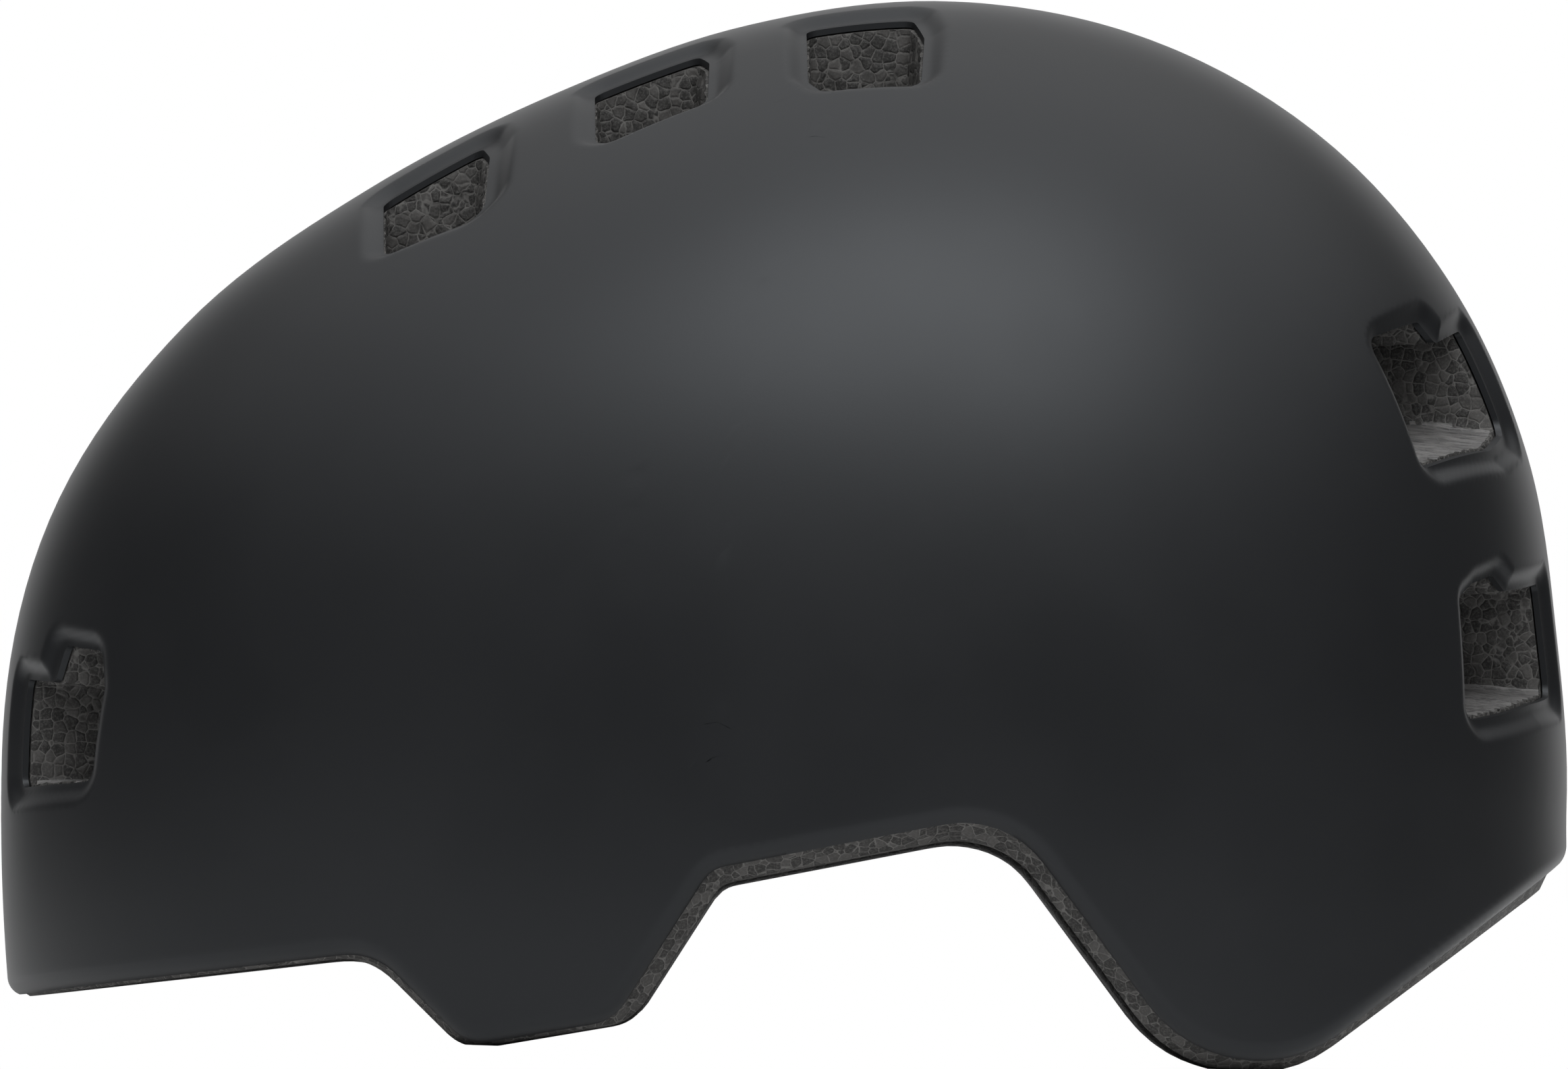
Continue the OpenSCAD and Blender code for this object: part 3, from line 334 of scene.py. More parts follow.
class Vent:
    """One vent of the left side. Its frame is the distance from the middle plane, the place across
    the vent's way and the place along it."""

    def __init__(self, aim, deep, slide, corners):
        self.way = np.array([-cosd(aim), 0, sind(aim)])
        self.slide = np.array([-cosd(slide), 0, sind(slide)])
        self.across = np.array([sind(aim), 0, cosd(aim)])
        self.outline = filleted(np.array(corners, float), True)
        self.deep = deep
        low, high = self.outline.min(0), self.outline.max(0)
        self.middle = (low + high) / 2
        start = CENTRE + self.middle[0] * LEFT + self.middle[1] * self.across
        self.skin = float(reach_of(even(0), start, self.way))

    def place(self, p):
        rel = p - CENTRE
        return np.stack([np.abs(p[:, 1]), rel @ self.across, rel @ self.way], -1)

    def field(self, p):
        """Distance of points outside the hole."""
        made = np.full(len(p), FAR)
        q = self.place(p)
        near = (q[:, 2] > VENT_INNER) & (q[:, 0] < VENT_OUTER)
        near &= np.abs(q[:, 1] - self.middle[1]) < VENT_REACH
        if near.any():
            q = q[near]
            grown = 1 + (q[:, 2:] - self.skin) * VENT_TAPER
            flat = self.middle + (q[:, :2] - self.middle) / grown
            sign = np.where(inside(flat, self.outline), -1, 1)
            made[near] = distance(flat, self.outline, True) * sign
        return made

    def cutter(self, grow, deep, along, around, bulge):
        """Rings of the hole along the mould's slide, from outside the skin inwards. They shrink
        with depth, and bulge may move their side."""
        ring = even_ring(self.outline, around)
        tangent = unit(np.roll(ring, -1, 0) - np.roll(ring, 1, 0))
        area = (ring[:, 0] * np.roll(ring[:, 1], -1) - ring[:, 1] * np.roll(ring[:, 0], -1)).sum()
        outward = np.stack([tangent[:, 1], -tangent[:, 0]], -1) * np.sign(area)
        ring = ring + outward * grow
        skin = CENTRE + ring[:, :1] * LEFT + ring[:, 1:] * self.across
        skin = skin + reach_of(even(0), skin, self.way)[:, None] * self.way
        if self.way @ self.slide > 0.99:
            skin -= (skin - skin.mean(0)) @ self.way[:, None] * self.way
        rows = max(2, int((CUTTER_OUT + deep) / along) + 1)
        t = np.linspace(CUTTER_OUT, -deep, rows)[:, None, None]
        middle = skin.mean(0)
        p = middle + (skin - middle) * (1 + t * VENT_TAPER) + t * self.slide
        if bulge is not None:
            normal = outward[:, :1] * LEFT + outward[:, 1:] * self.across
            p = p + normal * bulge(p.reshape(-1, 3)).reshape(p.shape[:2])[..., None]
        return p


ALL_VENTS = [Vent(*v) for v in VENTS]


def hole_field(p):
    """Least distance outside any vent's hole."""
    return np.min([v.field(p) for v in ALL_VENTS], 0)


# Meshes

def new_mesh(name, points, faces, uv=None):
    """Object at the origin from points in millimetres and a list of face arrays."""
    mesh = bpy.data.meshes.new(name)
    faces = [np.asarray(f, np.int32) for f in faces]
    sizes = np.concatenate([np.full(len(f), f.shape[1], np.int32) for f in faces])
    corners = np.concatenate([f.ravel() for f in faces])
    starts = (np.cumsum(sizes) - sizes).astype(np.int32)
    mesh.vertices.add(len(points))
    mesh.vertices.foreach_set("co", (np.asarray(points, np.float32) * MM).ravel())
    mesh.loops.add(len(corners))
    mesh.loops.foreach_set("vertex_index", corners)
    mesh.polygons.add(len(sizes))
    mesh.polygons.foreach_set("loop_start", starts)
    mesh.polygons.foreach_set("loop_total", sizes)
    if uv is not None:
        layer = mesh.uv_layers.new(name="weave")
        layer.data.foreach_set("uv", np.asarray(uv, np.float32)[corners].ravel())
    mesh.update(calc_edges=True)
    mesh.validate()
    return new_object(name, mesh)


def new_object(name, data):
    obj = bpy.data.objects.new(name, data)
    bpy.context.scene.collection.objects.link(obj)
    return obj


def points_of(mesh):
    """Points of a mesh in millimetres."""
    p = np.empty(3 * len(mesh.vertices))
    mesh.vertices.foreach_get("co", p)
    return p.reshape(-1, 3) / MM


def baked(obj):
    """The object with its modifiers worked into its mesh."""
    graph = bpy.context.evaluated_depsgraph_get()
    old, obj_mesh = obj.data, bpy.data.meshes.new_from_object(obj.evaluated_get(graph))
    obj.modifiers.clear()
    obj.data = obj_mesh
    bpy.data.meshes.remove(old)
    obj_mesh.name = obj.name
    return obj


def cut(obj, cutter):
    """The object less the cutter, which goes."""
    holes = obj.modifiers.new("holes", "BOOLEAN")
    holes.operation, holes.solver, holes.object = "DIFFERENCE", "MANIFOLD", cutter
    baked(obj)
    bpy.data.objects.remove(cutter)
    return obj


def shade(obj, angle):
    """Smooth shading with edges sharper than the angle kept sharp."""
    obj.data.polygons.foreach_set("use_smooth", np.ones(len(obj.data.polygons), bool))
    obj.data.set_sharp_from_angle(angle=math.radians(angle))
    return obj


def corners_of(*columns):
    """Faces from arrays of their first corners, their second corners and so on."""
    return np.stack(columns, -1)


def closed_rings(rings):
    """Points and faces of rings joined into a closed solid with a fan over each end."""
    rows, count = rings.shape[:2]
    points = np.vstack([rings.reshape(-1, 3), rings[0].mean(0), rings[-1].mean(0)])
    row, j = (m.ravel() for m in np.meshgrid(np.arange(rows - 1), np.arange(count), indexing="ij"))
    a, b = row * count + j, row * count + (j + 1) % count
    sides = corners_of(a, b, b + count, a + count)
    j = np.arange(count)
    k = (j + 1) % count
    top, last = rows * count, (rows - 1) * count
    start = corners_of(np.full(count, top), k, j)
    end = corners_of(np.full(count, top + 1), last + j, last + k)
    return points, [sides, start, end]


def joined(parts):
    """Several points and faces pairs as one."""
    points, faces, start = [], [], 0
    for p, fs in parts:
        points.append(p)
        faces += [f + start for f in fs]
        start += len(p)
    return np.vstack(points), faces


def turned_round(faces):
    return [f[:, ::-1] for f in faces]


def both_sides(points, faces):
    """A solid and its mirror image on the right, whose faces are turned round."""
    return [(points, faces), (points * [1, -1, 1], turned_round(faces))]


def facing_out(points, faces):
    """A solid with its faces turned round if the first of them looks to its middle."""
    f = faces[0][0]
    n = np.cross(points[f[1]] - points[f[0]], points[f[2]] - points[f[0]])
    looks_in = n @ (points[f[0]] - points.mean(0)) < 0
    return points, turned_round(faces) if looks_in else faces


# Skins over a disc

def fan_disc(rings):
    """Unit disc of triangles: ring k lies at radius k / rings and holds 6k points."""
    points, triangles = [np.zeros((1, 2))], []
    for k in range(1, rings + 1):
        turn = 2 * np.pi * np.arange(6 * k) / (6 * k)
        points.append(np.stack([np.cos(turn), np.sin(turn)], -1) * k / rings)
        outer = 1 + 3 * k * (k - 1)
        inner = 1 + 3 * (k - 1) * (k - 2) if k > 1 else 0
        sector, i = (m.ravel() for m in np.meshgrid(np.arange(6), np.arange(k), indexing="ij"))
        a, b = outer + sector * k + i, outer + (sector * k + i + 1) % (6 * k)
        within = max(6 * (k - 1), 1)
        c = inner + (sector * (k - 1) + i) % within
        d = inner + (sector * (k - 1) + i + 1) % within
        triangles += [corners_of(a, b, c), corners_of(b, d, c)[i < k - 1]]
    return np.concatenate(points), np.concatenate(triangles)


def on_rim(uv):
    return np.hypot(*uv.T) > 1 - 1e-9


def refine(uv, tri, shape, size, passes):
    """Halves edges longer than size allows until none is, on the shape that uv maps to. The longest
    edge of a triangle is halved with any other, so that no sliver forms. Edge points stay on the
    rim."""
    for _ in range(passes):
        ends = np.sort(tri[:, [[0, 1], [1, 2], [2, 0]]], axis=2)
        key, back = np.unique(ends[..., 0] * len(uv) + ends[..., 1], return_inverse=True)
        back = back.reshape(-1, 3)
        a, b = key // len(uv), key % len(uv)
        p = shape(uv)
        middle = (uv[a] + uv[b]) / 2
        rim = on_rim(uv[a]) & on_rim(uv[b])
        middle[rim] = unit(middle[rim])
        length = np.linalg.norm(p[a] - p[b], axis=1)
        halved = length > size(shape(middle)) * 1.3
        if not halved.any():
            break
        longest = back[np.arange(len(tri)), length[back].argmax(1)]
        for _ in range(12):
            more = longest[halved[back].any(1)]
            if halved[more].all():
                break
            halved[more] = True
        new = np.full(len(key), -1)
        new[halved] = len(uv) + np.arange(halved.sum())
        uv = np.vstack([uv, middle[halved]])
        m = new[back]
        count = (m >= 0).sum(1)
        v, n = tri[count == 3].T, m[count == 3].T
        made = [tri[count == 0], corners_of(v[0], n[0], n[2]), corners_of(n[0], v[1], n[1]),
                corners_of(n[2], n[1], v[2]), n.T]
        for k in range(3):
            one = (count == 1) & (m[:, k] >= 0)
            v, n = np.roll(tri[one], -k, 1).T, np.roll(m[one], -k, 1).T
            made += [corners_of(v[0], n[0], v[2]), corners_of(n[0], v[1], v[2])]
            two = (count == 2) & (m[:, k] < 0)
            v, n = np.roll(tri[two], -k, 1).T, np.roll(m[two], -k, 1).T
            made += [corners_of(v[2], n[2], n[1]), corners_of(v[0], v[1], n[1]),
                     corners_of(v[0], n[1], n[2])]
        tri = np.concatenate(made)
    return uv, tri


def rim_loop(uv):
    """Points of the disc's rim in order of azimuth."""
    rim = np.flatnonzero(on_rim(uv))
    return rim[np.argsort(np.arctan2(uv[rim, 1], uv[rim, 0]))]


class Skin:
    """Surface over the unit disc, from the crown at its middle to an edge line at its rim. Its
    lowest level at each azimuth is found by halving."""

    def __init__(self, surface, line, lift=0.0):
        self.surface = surface
        self.az = np.arange(0, 360.25, 0.25)
        low, high = np.full(len(self.az), -1.0), np.full(len(self.az), 0.35)
        for _ in range(30):
            s = (low + high) / 2
            p = surface(self.az, s)
            over = p[:, 2] - edge_height(line, p[:, 0]) - lift > 0
            low, high = np.where(over, low, s), np.where(over, s, high)
        self.lowest = low

    def level(self, uv):
        az = np.degrees(np.arctan2(uv[:, 1], uv[:, 0])) % 360
        return az, 1 - np.hypot(*uv.T) * (1 - np.interp(az, self.az, self.lowest))

    def __call__(self, uv):
        return self.surface(*self.level(uv))


BORDER_D, BORDER_FLAT, BORDER_END = 1.8, 0.6, 4.4
ROLL_R, ROLL_H = 3.5, 3.1
BAND_SLOPE = 1.1
FINE_BORDER, FINE_EDGE = 2.4, 4.0


def press(d):
    """Depth of the pressed borders at a distance from the hole, with a soft slope."""
    return BORDER_D * (1 - smooth(BORDER_FLAT, BORDER_END, d))


def edge_roll(e):
    """How far the wall turns in near the shell's edge: an arc above it and a slant below it."""
    arc = ROLL_R - np.sqrt(ROLL_R**2 - np.clip(ROLL_H - e, 0, ROLL_H) ** 2)
    return arc + np.maximum(-e, 0) * BAND_SLOPE


def moulded(skin, uv, inset, depth=0.0):
    """Points of the moulded outside at an inset, pressed round the vents and rolled at the edge."""
    p = skin(uv)
    az, s = skin.level(uv)
    sunk = press(hole_field(dome_point(even(0), az, s))) + edge_roll(above_edge(p)) + depth
    return p + inward(inset, az, s) * sunk[:, None]


def from_detail(p):
    """How far points lie from the pressed borders and from the lower edge."""
    border = np.maximum(np.abs(hole_field(p) - FINE_BORDER) - FINE_BORDER, 0)
    return border, np.maximum(above_edge(p) - FINE_EDGE, 0)


def vent_cutter(name, grow, deep, along, around, bulge=None, more=()):
    """Cutter of all vents, and of more solids."""
    parts = list(more)
    for v in ALL_VENTS:
        rings = v.cutter(grow, min(deep, v.deep), along, around, bulge)
        parts += both_sides(*facing_out(*closed_rings(rings)))
    return new_mesh(name, *joined(parts))


def outer_shell():
    """Moulded shell: two skins a wall apart over one refined disc, joined round the edge, with the
    vents cut through."""
    skin = Skin(lambda az, s: dome_point(even(0), az, s), SHELL_EDGE)

    def size(p):
        border, edge = from_detail(p)
        most = np.full(len(p), 4.2)
        return np.minimum.reduce([0.88 + 0.42 * border, 1.3 + 0.42 * edge, most])

    uv, tri = refine(*fan_disc(14), skin, size, 9)
    outside = moulded(skin, uv, even(0))
    within = moulded(skin, uv, even(0), SHELL_WALL)
    j = rim_loop(uv)
    k = np.roll(j, -1)
    n = len(uv)
    lip = corners_of(k, j, j + n, k + n)
    shell = new_mesh("moulded_shell", np.vstack([outside, within]), [tri, tri[:, ::-1] + n, lip])
    return shade(cut(shell, vent_cutter("shell_holes", 0, 26, 60, 0.7)), 40)


def bead_bulge(p):
    """Bulge of moulded beads at points: a sum of waves whose lengths are near a bead's."""
    k = 2 * np.pi / np.array([2.9, 3.4, 4.1, 2.5])
    d = np.array([[0.8, 0.5, 0.33], [-0.3, 0.9, 0.3], [0.4, -0.25, 0.88], [0.6, 0.62, -0.5]])
    return 0.09 * np.sin(p @ (d * k[:, None]).T + [0.4, 1.3, 2.6, 4.2]).sum(-1)


HOLLOW_HALF, HOLLOW_D, HOLLOW_TOP, HOLLOW_CORNER = 27.0, 13.0, 54.0, 8.0
CHANNEL_IN, CHANNEL_W, CHANNEL_D, CHANNEL_LOW = 23.0, 22.0, 7.0, 45.0
HOLLOW_X = float(dome_point(FOAM_IN, 180.0, 0.0)[0])


def hollow_field(p):
    """Distance outside the finger hollow's outline, a plate with rounded corners."""
    dy = np.abs(p[..., 1]) - HOLLOW_HALF + HOLLOW_CORNER
    dz = p[..., 2] - HOLLOW_TOP + HOLLOW_CORNER
    away = np.hypot(np.maximum(dy, 0), np.maximum(dz, 0)) + np.minimum(np.maximum(dy, dz), 0)
    return np.where(p[..., 0] > 60, away - HOLLOW_CORNER, FAR)


def channel_field(p):
    """Distance outside the air channels, on the upper part of the wall."""
    across = np.abs(np.abs(p[..., 1]) - CHANNEL_IN - CHANNEL_W / 2) - CHANNEL_W / 2
    return np.maximum(across, CHANNEL_LOW - p[..., 2])


def inner_wall(az, s):
    """Inner wall of the liner with its finger hollow at the back and its two air channels."""
    p = dome_point(FOAM_IN, az, s)
    share = 1 - smooth(-2.2, 1.8, hollow_field(p))
    p[..., 0] += share * (HOLLOW_X + HOLLOW_D - p[..., 0])
    groove = CHANNEL_D * (1 - smooth(-2.5, 2.5, channel_field(p)))
    return p - inward(FOAM_IN, az, s) * groove[..., None]


EDGE_ROUND = 3.0
PIVOT = np.array([-60.0, 0.0, 62.0])
POCKET_R, POCKET_D = 8.3, 6.3


def anchor_pockets():
    """Round pockets of the temple anchors in the inner wall, along the pivot's axis."""
    wall = float(reach_of(FOAM_IN, PIVOT, -LEFT))
    turn = 2 * np.pi * np.arange(48) / 48
    ring = PIVOT + POCKET_R * np.stack([np.cos(turn), 0 * turn, np.sin(turn)], -1)
    ends = np.array([[0, -wall - POCKET_D, 0], [0, 20.0 - wall, 0]])
    return both_sides(*facing_out(*closed_rings(ring + ends[:, None])))


def foam_liner():
    """Foam liner: an outer and an inner wall over one refined disc, with a rounded bottom face
    between them, less the beaded vents and the pockets of the temple anchors."""
    outer = Skin(lambda az, s: dome_point(FOAM_OUT, az, s), LINER_EDGE)
    inner = Skin(inner_wall, LINER_EDGE, EDGE_ROUND)

    def size(p):
        border, edge = from_detail(p)
        inner_p = CENTRE + (p - CENTRE) * 0.8
        hollow = np.maximum(np.abs(hollow_field(inner_p)) - 4, 0)
        channel = np.maximum(np.abs(channel_field(inner_p)) - 4, 0)
        return np.minimum.reduce([1.8 + 0.5 * border, 1.75 + 0.4 * edge, 1.7 + 0.4 * hollow,
                                  2.2 + 0.5 * channel, np.full(len(p), 4.5)])

    uv, tri = refine(*fan_disc(14), outer, size, 8)
    outside = moulded(outer, uv, FOAM_OUT)
    within = inner(uv)
    rim = rim_loop(uv)
    a, b = outside[rim], within[rim]
    thick = np.linalg.norm((b - a)[:, :2], axis=1)
    # Rows of the bottom face: flat ones, then ones that rise round the inner edge
    flat = np.linspace(0, 1, 9)[1:-1, None]
    left = np.array([EDGE_ROUND, 1.6, 0.8, 0.25])
    share = np.concatenate([flat * (1 - EDGE_ROUND / thick), 1 - left[:, None] / thick])
    rise = EDGE_ROUND - np.sqrt(EDGE_ROUND**2 - (EDGE_ROUND - left) ** 2)
    lift = np.concatenate([np.zeros(len(flat)), rise])
    rows = a + share[..., None] * (b - a)
    rows[..., 2] = edge_height(LINER_EDGE, rows[..., 0]) + lift[:, None]
    n = len(uv)
    added = 2 * n + np.arange(len(rows) * len(rim)).reshape(-1, len(rim))
    ids = np.vstack([rim, added, rim + n])
    following = np.roll(ids, -1, 1)
    bottom = corners_of(ids[:-1], following[:-1], following[1:], ids[1:]).reshape(-1, 4)[:, ::-1]
    points = np.vstack([outside, within, rows.reshape(-1, 3)])
    foam = new_mesh("foam_liner", points, [tri, tri[:, ::-1] + n, bottom])
    holes = vent_cutter("foam_holes", -0.35, 60, 1.02, 1.02, bead_bulge, anchor_pockets())
    return shade(cut(foam, holes), 50)


FLOOR_UP, FLOOR_FROM, FLOOR_TO = 0.6, 3.5, 19.0


def vent_floors(foam):
    """Faces of the foam that face up as the floors of its vents, in front and at the back. They
    take the foam painted paler with painted light.
    """
    count = len(foam.data.polygons)
    middle, normal = np.empty(3 * count, np.float32), np.empty(3 * count, np.float32)
    foam.data.polygons.foreach_get("center", middle)
    foam.data.polygons.foreach_get("normal", normal)
    depth = depth_in(even(0), middle.reshape(-1, 3) / MM)
    up = normal.reshape(-1, 3)[:, 2]
    return (up > FLOOR_UP) & (depth > FLOOR_FROM) & (depth < FLOOR_TO)


# Pads

PAD_T, PAD_STAND, PAD_CAP = 7.0, 2.8, 1.1
PAD_VOXEL = 1.3
FLANGE_W, FLANGE_T = 2.2, 1.6
SEAM_W, SEAM_SINK = 1.5, 0.8
# The cloth is simulated at several times its size, where the solver is steadier
CLOTH_SCALE, CLOTH_FRAMES = 4.0, 20


def round_wall(az0, az1, low, high):
    """Place of a pad that lies round the wall: share along it, share up it and height off the
    liner."""
    return lambda u, v, g: wall_point(lerp(az0, az1, u), lerp(low, high, v), g)


def on_crown(fore0, fore1, spread):
    """Place of a pad that lies along the crown, by angles fore and aft of upright and to the
    sides."""
    def place(u, v, g):
        fore, side = lerp(fore0, fore1, u), lerp(spread, -spread, v)
        az = np.degrees(np.arctan2(sind(side), -sind(fore) * cosd(side)))
        return wall_point(az, np.degrees(np.arcsin(cosd(fore) * cosd(side))) / 90, g)
    return place


def shares_of(place, p, g):
    """Shares and height of points, from the nearest of a grid of places and two Newton steps."""
    u, v = (m.ravel() for m in np.meshgrid(np.linspace(0, 1, 41), np.linspace(0, 1, 13)))
    grid = place(u, v, np.full(len(u), g))
    near = np.concatenate([((part[:, None] - grid) ** 2).sum(-1).argmin(1)
                           for part in np.array_split(p, max(1, len(p) // 2000))])
    q = np.stack([u[near], v[near], np.full(len(p), g)], -1)
    for _ in range(2):
        base = place(*q.T)
        slope = np.stack([(place(*(q + h).T) - base) / h.max()
                          for h in np.diag([0.01, 0.01, 0.1])], -1)
        q += np.linalg.solve(slope, (p - base)[..., None])[..., 0]
    return q


def swollen(obj, held, cap):
    """Cloth blown up from within and held at some points, moved by no more than the cap."""
    start = np.empty(3 * len(obj.data.vertices))
    obj.data.vertices.foreach_get("co", start)
    obj.data.vertices.foreach_set("co", start * CLOTH_SCALE)
    group = obj.vertex_groups.new(name="held")
    group.add([int(i) for i in np.flatnonzero(held)], 1.0, "REPLACE")
    cloth = obj.modifiers.new("cloth", "CLOTH")
    cloth.settings.quality = 6
    cloth.settings.use_pressure = True
    cloth.settings.uniform_pressure_force = 4.0
    cloth.settings.effector_weights.gravity = 0.0
    cloth.settings.vertex_group_mass = "held"
    cloth.settings.bending_stiffness = 0.3
    scene = bpy.context.scene
    cloth.point_cache.frame_start, cloth.point_cache.frame_end = 1, CLOTH_FRAMES
    for f in range(1, CLOTH_FRAMES + 1):
        scene.frame_set(f)
    got = obj.evaluated_get(bpy.context.evaluated_depsgraph_get())
    end = np.empty(3 * len(obj.data.vertices))
    got.data.vertices.foreach_get("co", end)
    obj.modifiers.clear()
    obj.vertex_groups.clear()
    scene.frame_set(1)
    move = (end / CLOTH_SCALE - start).reshape(-1, 3)
    size = np.linalg.norm(move, axis=1, keepdims=True)
    move *= np.minimum(1, cap * MM / np.maximum(size, 1e-9))
    obj.data.vertices.foreach_set("co", start + move.ravel())
    return float(size.max() / MM)


def sewn(obj):
    """Pad with one subdivision."""
    smoother = obj.modifiers.new("smoother", "SUBSURF")
    smoother.levels = smoother.render_levels = 1
    return obj


def pad(name, place, length, width, thick=PAD_T, stand=PAD_STAND, channels=(), cap=PAD_CAP):
    """Padded cloth with a welded flange: a rounded outline whose crown rises as a quarter of a
    superellipse with the distance from the flange. It is swollen as cloth, and then the welded
    channels across it are pressed in."""
    half = np.array([length, width]) / 2
    r = 0.8 * half[1]
    signs = ((-1, -1), (1, -1), (1, 1), (-1, 1))
    corners = np.array([[x * half[0], y * half[1], r] for x, y in signs])
    ring = even_ring(filleted(corners, True, 16.0), 1.2)

    def depth(q):
        far = np.abs(q) - half + r
        return r - np.hypot(*np.maximum(far, 0).T) - np.minimum(far.max(-1), 0)

    def height(q):
        rise = np.clip((depth(q) - FLANGE_W) / (half[1] - FLANGE_W), 0, 1)
        return FLANGE_T + (thick - cap - FLANGE_T) * (1 - (1 - rise) ** 2.4) ** 0.75

    flat = np.linspace(1, 0, 34)[:-1, None, None] * ring
    u, v = (0.5 + flat / np.array([length, width])).transpose(2, 0, 1)
    top = place(u, v, stand + height(flat.reshape(-1, 2)).reshape(u.shape))
    under = place(u, v, np.full(u.shape, stand))
    obj = new_mesh(name, *closed_rings(np.concatenate([under[::-1], top])))
    remesh = obj.modifiers.new("remesh", "REMESH")
    remesh.mode, remesh.voxel_size = "VOXEL", PAD_VOXEL * MM
    calm = obj.modifiers.new("calm", "SMOOTH")
    calm.factor, calm.iterations = 0.5, 6
    mesh = baked(obj).data

    q = shares_of(place, points_of(mesh), stand + thick / 2)
    flat = (q[:, :2] - 0.5) * [length, width]
    held = (q[:, 2] < stand + 0.8) | (depth(flat) < FLANGE_W)
    print(name, "swollen by", round(swollen(obj, held, cap), 2), "mm")
    p = points_of(mesh)
    normal = unit(place(*q[:, :2].T, q[:, 2] + 0.1) - place(*q.T))
    along = flat[:, 0]
    away = [(along - (c - 0.5) * length) / SEAM_W for c in channels]
    groove = sum((np.exp(-(a**2)) for a in away), 0 * along)
    p -= normal * (SEAM_SINK * groove * np.maximum(q[:, 2] - stand - FLANGE_T, 0))[:, None]
    mesh.vertices.foreach_set("co", (p * MM).ravel())
    mesh.polygons.foreach_set("use_smooth", np.ones(len(mesh.polygons), bool))
    mesh.update()
    return sewn(obj)


def twin(obj, name):
    """The pad's mirror image on the right, with its faces turned round."""
    mesh = obj.data.copy()
    mesh.name = name
    mesh.vertices.foreach_set("co", (points_of(mesh) * [1, -1, 1] * MM).ravel())
    mesh.flip_normals()
    return sewn(new_object(name, mesh))


# Webbing

WEB_W, WEB_T, WEB_STAND = 15.0, 1.5, 1.2
PATH_STEP = 1.6
# Bar tacks: width, places of the rows, half height of the zigzag, stitch and radius of the thread
TACK_W, TACK_ROWS, TACK_ZIG, STITCH, THREAD_R = 11.0, (-1.1, 1.1), 0.75, 0.9, 0.24
# Place across that marks thread in the webbing's UV map
THREAD_MARK = -60.0


def ribbon(path, across, out):
    """Webbing along a path: a flat section with round selvedges that stands out from the path by
    its thickness. Its own UV map holds the place across and the run along it, in millimetres."""
    half, r = WEB_W / 2, WEB_T / 2
    turn = np.radians(np.array([-60.0, -20.0, 20.0, 60.0]))
    edge = np.stack([half - r + r * np.cos(turn), r + r * np.sin(turn)], -1)
    row = np.linspace(-half + r, half - r, 9)
    under, over = np.stack([row, 0 * row], -1), np.stack([row[::-1], 0 * row + WEB_T], -1)
    section = np.vstack([under, edge, over, edge[::-1] * [-1, 1]])
    rings = path[:, None] + section[:, :1] * across[:, None] + section[:, 1:] * out[:, None]
    points, faces = closed_rings(rings)
    run = run_along(path)
    uv = np.stack(np.broadcast_arrays(section[:, 0], run[:, None]), -1).reshape(-1, 2)
    uv = np.vstack([uv, [[0, run[0]], [0, run[-1]]]])
    turning = np.cross(section[1] - section[0], section[10] - section[0])
    if turning * np.linalg.det(np.stack([across[0], out[0], path[1] - path[0]])) < 0:
        faces = turned_round(faces)
    return points, faces, uv


def frames(path, side, toward):
    """Across and out directions along a path: out turns with the path and starts on the side of
    toward."""
    way = unit(np.gradient(path, axis=0))
    out = unit(np.cross(side, way))
    if out[len(path) // 2] @ toward < 0:
        out = -out
    return unit(np.cross(way, out)), out


def curve(knots):
    """Smooth curve through knots, with points about a step apart."""
    knots = np.asarray(knots, float)
    fine = spline(knots, np.linspace(0, len(knots) - 1, 40 * len(knots)))
    count = max(4, int(run_along(knots)[-1] / PATH_STEP))
    return resampled(fine, np.linspace(0, run_along(fine)[-1], count))


def tube(path, out, r, sides=5):
    """Thread along a path."""
    way = unit(np.gradient(path, axis=0))
    a = unit(out - (out * way).sum(-1, keepdims=True) * way)
    b = np.cross(way, a)
    turn = 2 * np.pi * np.arange(sides)[:, None] / sides
    return closed_rings(path[:, None] + r * (np.cos(turn) * a[:, None] + np.sin(turn) * b[:, None]))


def bar_tack(path, across, out, at):
    """Dense zigzag rows of thread across webbing, about the point of the path at a share of its
    length."""
    i = int(at * (len(path) - 1))
    way = np.cross(across[i], out[i])
    n = 2 * int(TACK_W / STITCH)
    zig = np.arange(n + 1)
    x = lerp(-TACK_W / 2, TACK_W / 2, zig / n)
    made = []
    for row in TACK_ROWS:
        y = row + TACK_ZIG * (-1.0) ** zig
        line = path[i] + x[:, None] * across[i] + y[:, None] * way + (WEB_T + 0.06) * out[i]
        made.append(tube(line, np.broadcast_to(out[i], line.shape), THREAD_R))
    return made


# Routes of the side straps up the wall, as azimuth and level
FRONT_STRAP = [[49, -0.41], [57, -0.17], [67, 0.02], [77, 0.13], [82.6, 0.21], [83.4, 0.287],
               [83.6, 0.345]]
REAR_STRAP = [[125, -0.385], [118, -0.16], [109, 0.02], [102, 0.13], [97.4, 0.21], [96.6, 0.287],
              [96.4, 0.345]]
# Anchors: azimuth, level and turn
FRONT_ANCHOR, REAR_ANCHOR = (43, -0.6, 45), (131, -0.56, -42)
# Way of the webbing out of an anchor's slot: distance up from its middle and height above its foot
OVER_BAR = [(1.5, 0.6), (1.5, 2.6), (2.4, 4.3), (4.2, 4.7), (5.9, 4.2), (7.2, 2.6)]
ANCHOR_STAND = 1.4
BUCKLE_X, BUCKLE_HALF = CROWN_BACK, 22.0
# Way of the chin strap in under the cam lock, as level and height off the wall
UNDER_LOCK = ((0.4, 0.4), (0.415, 0.5), (0.427, 0.9))
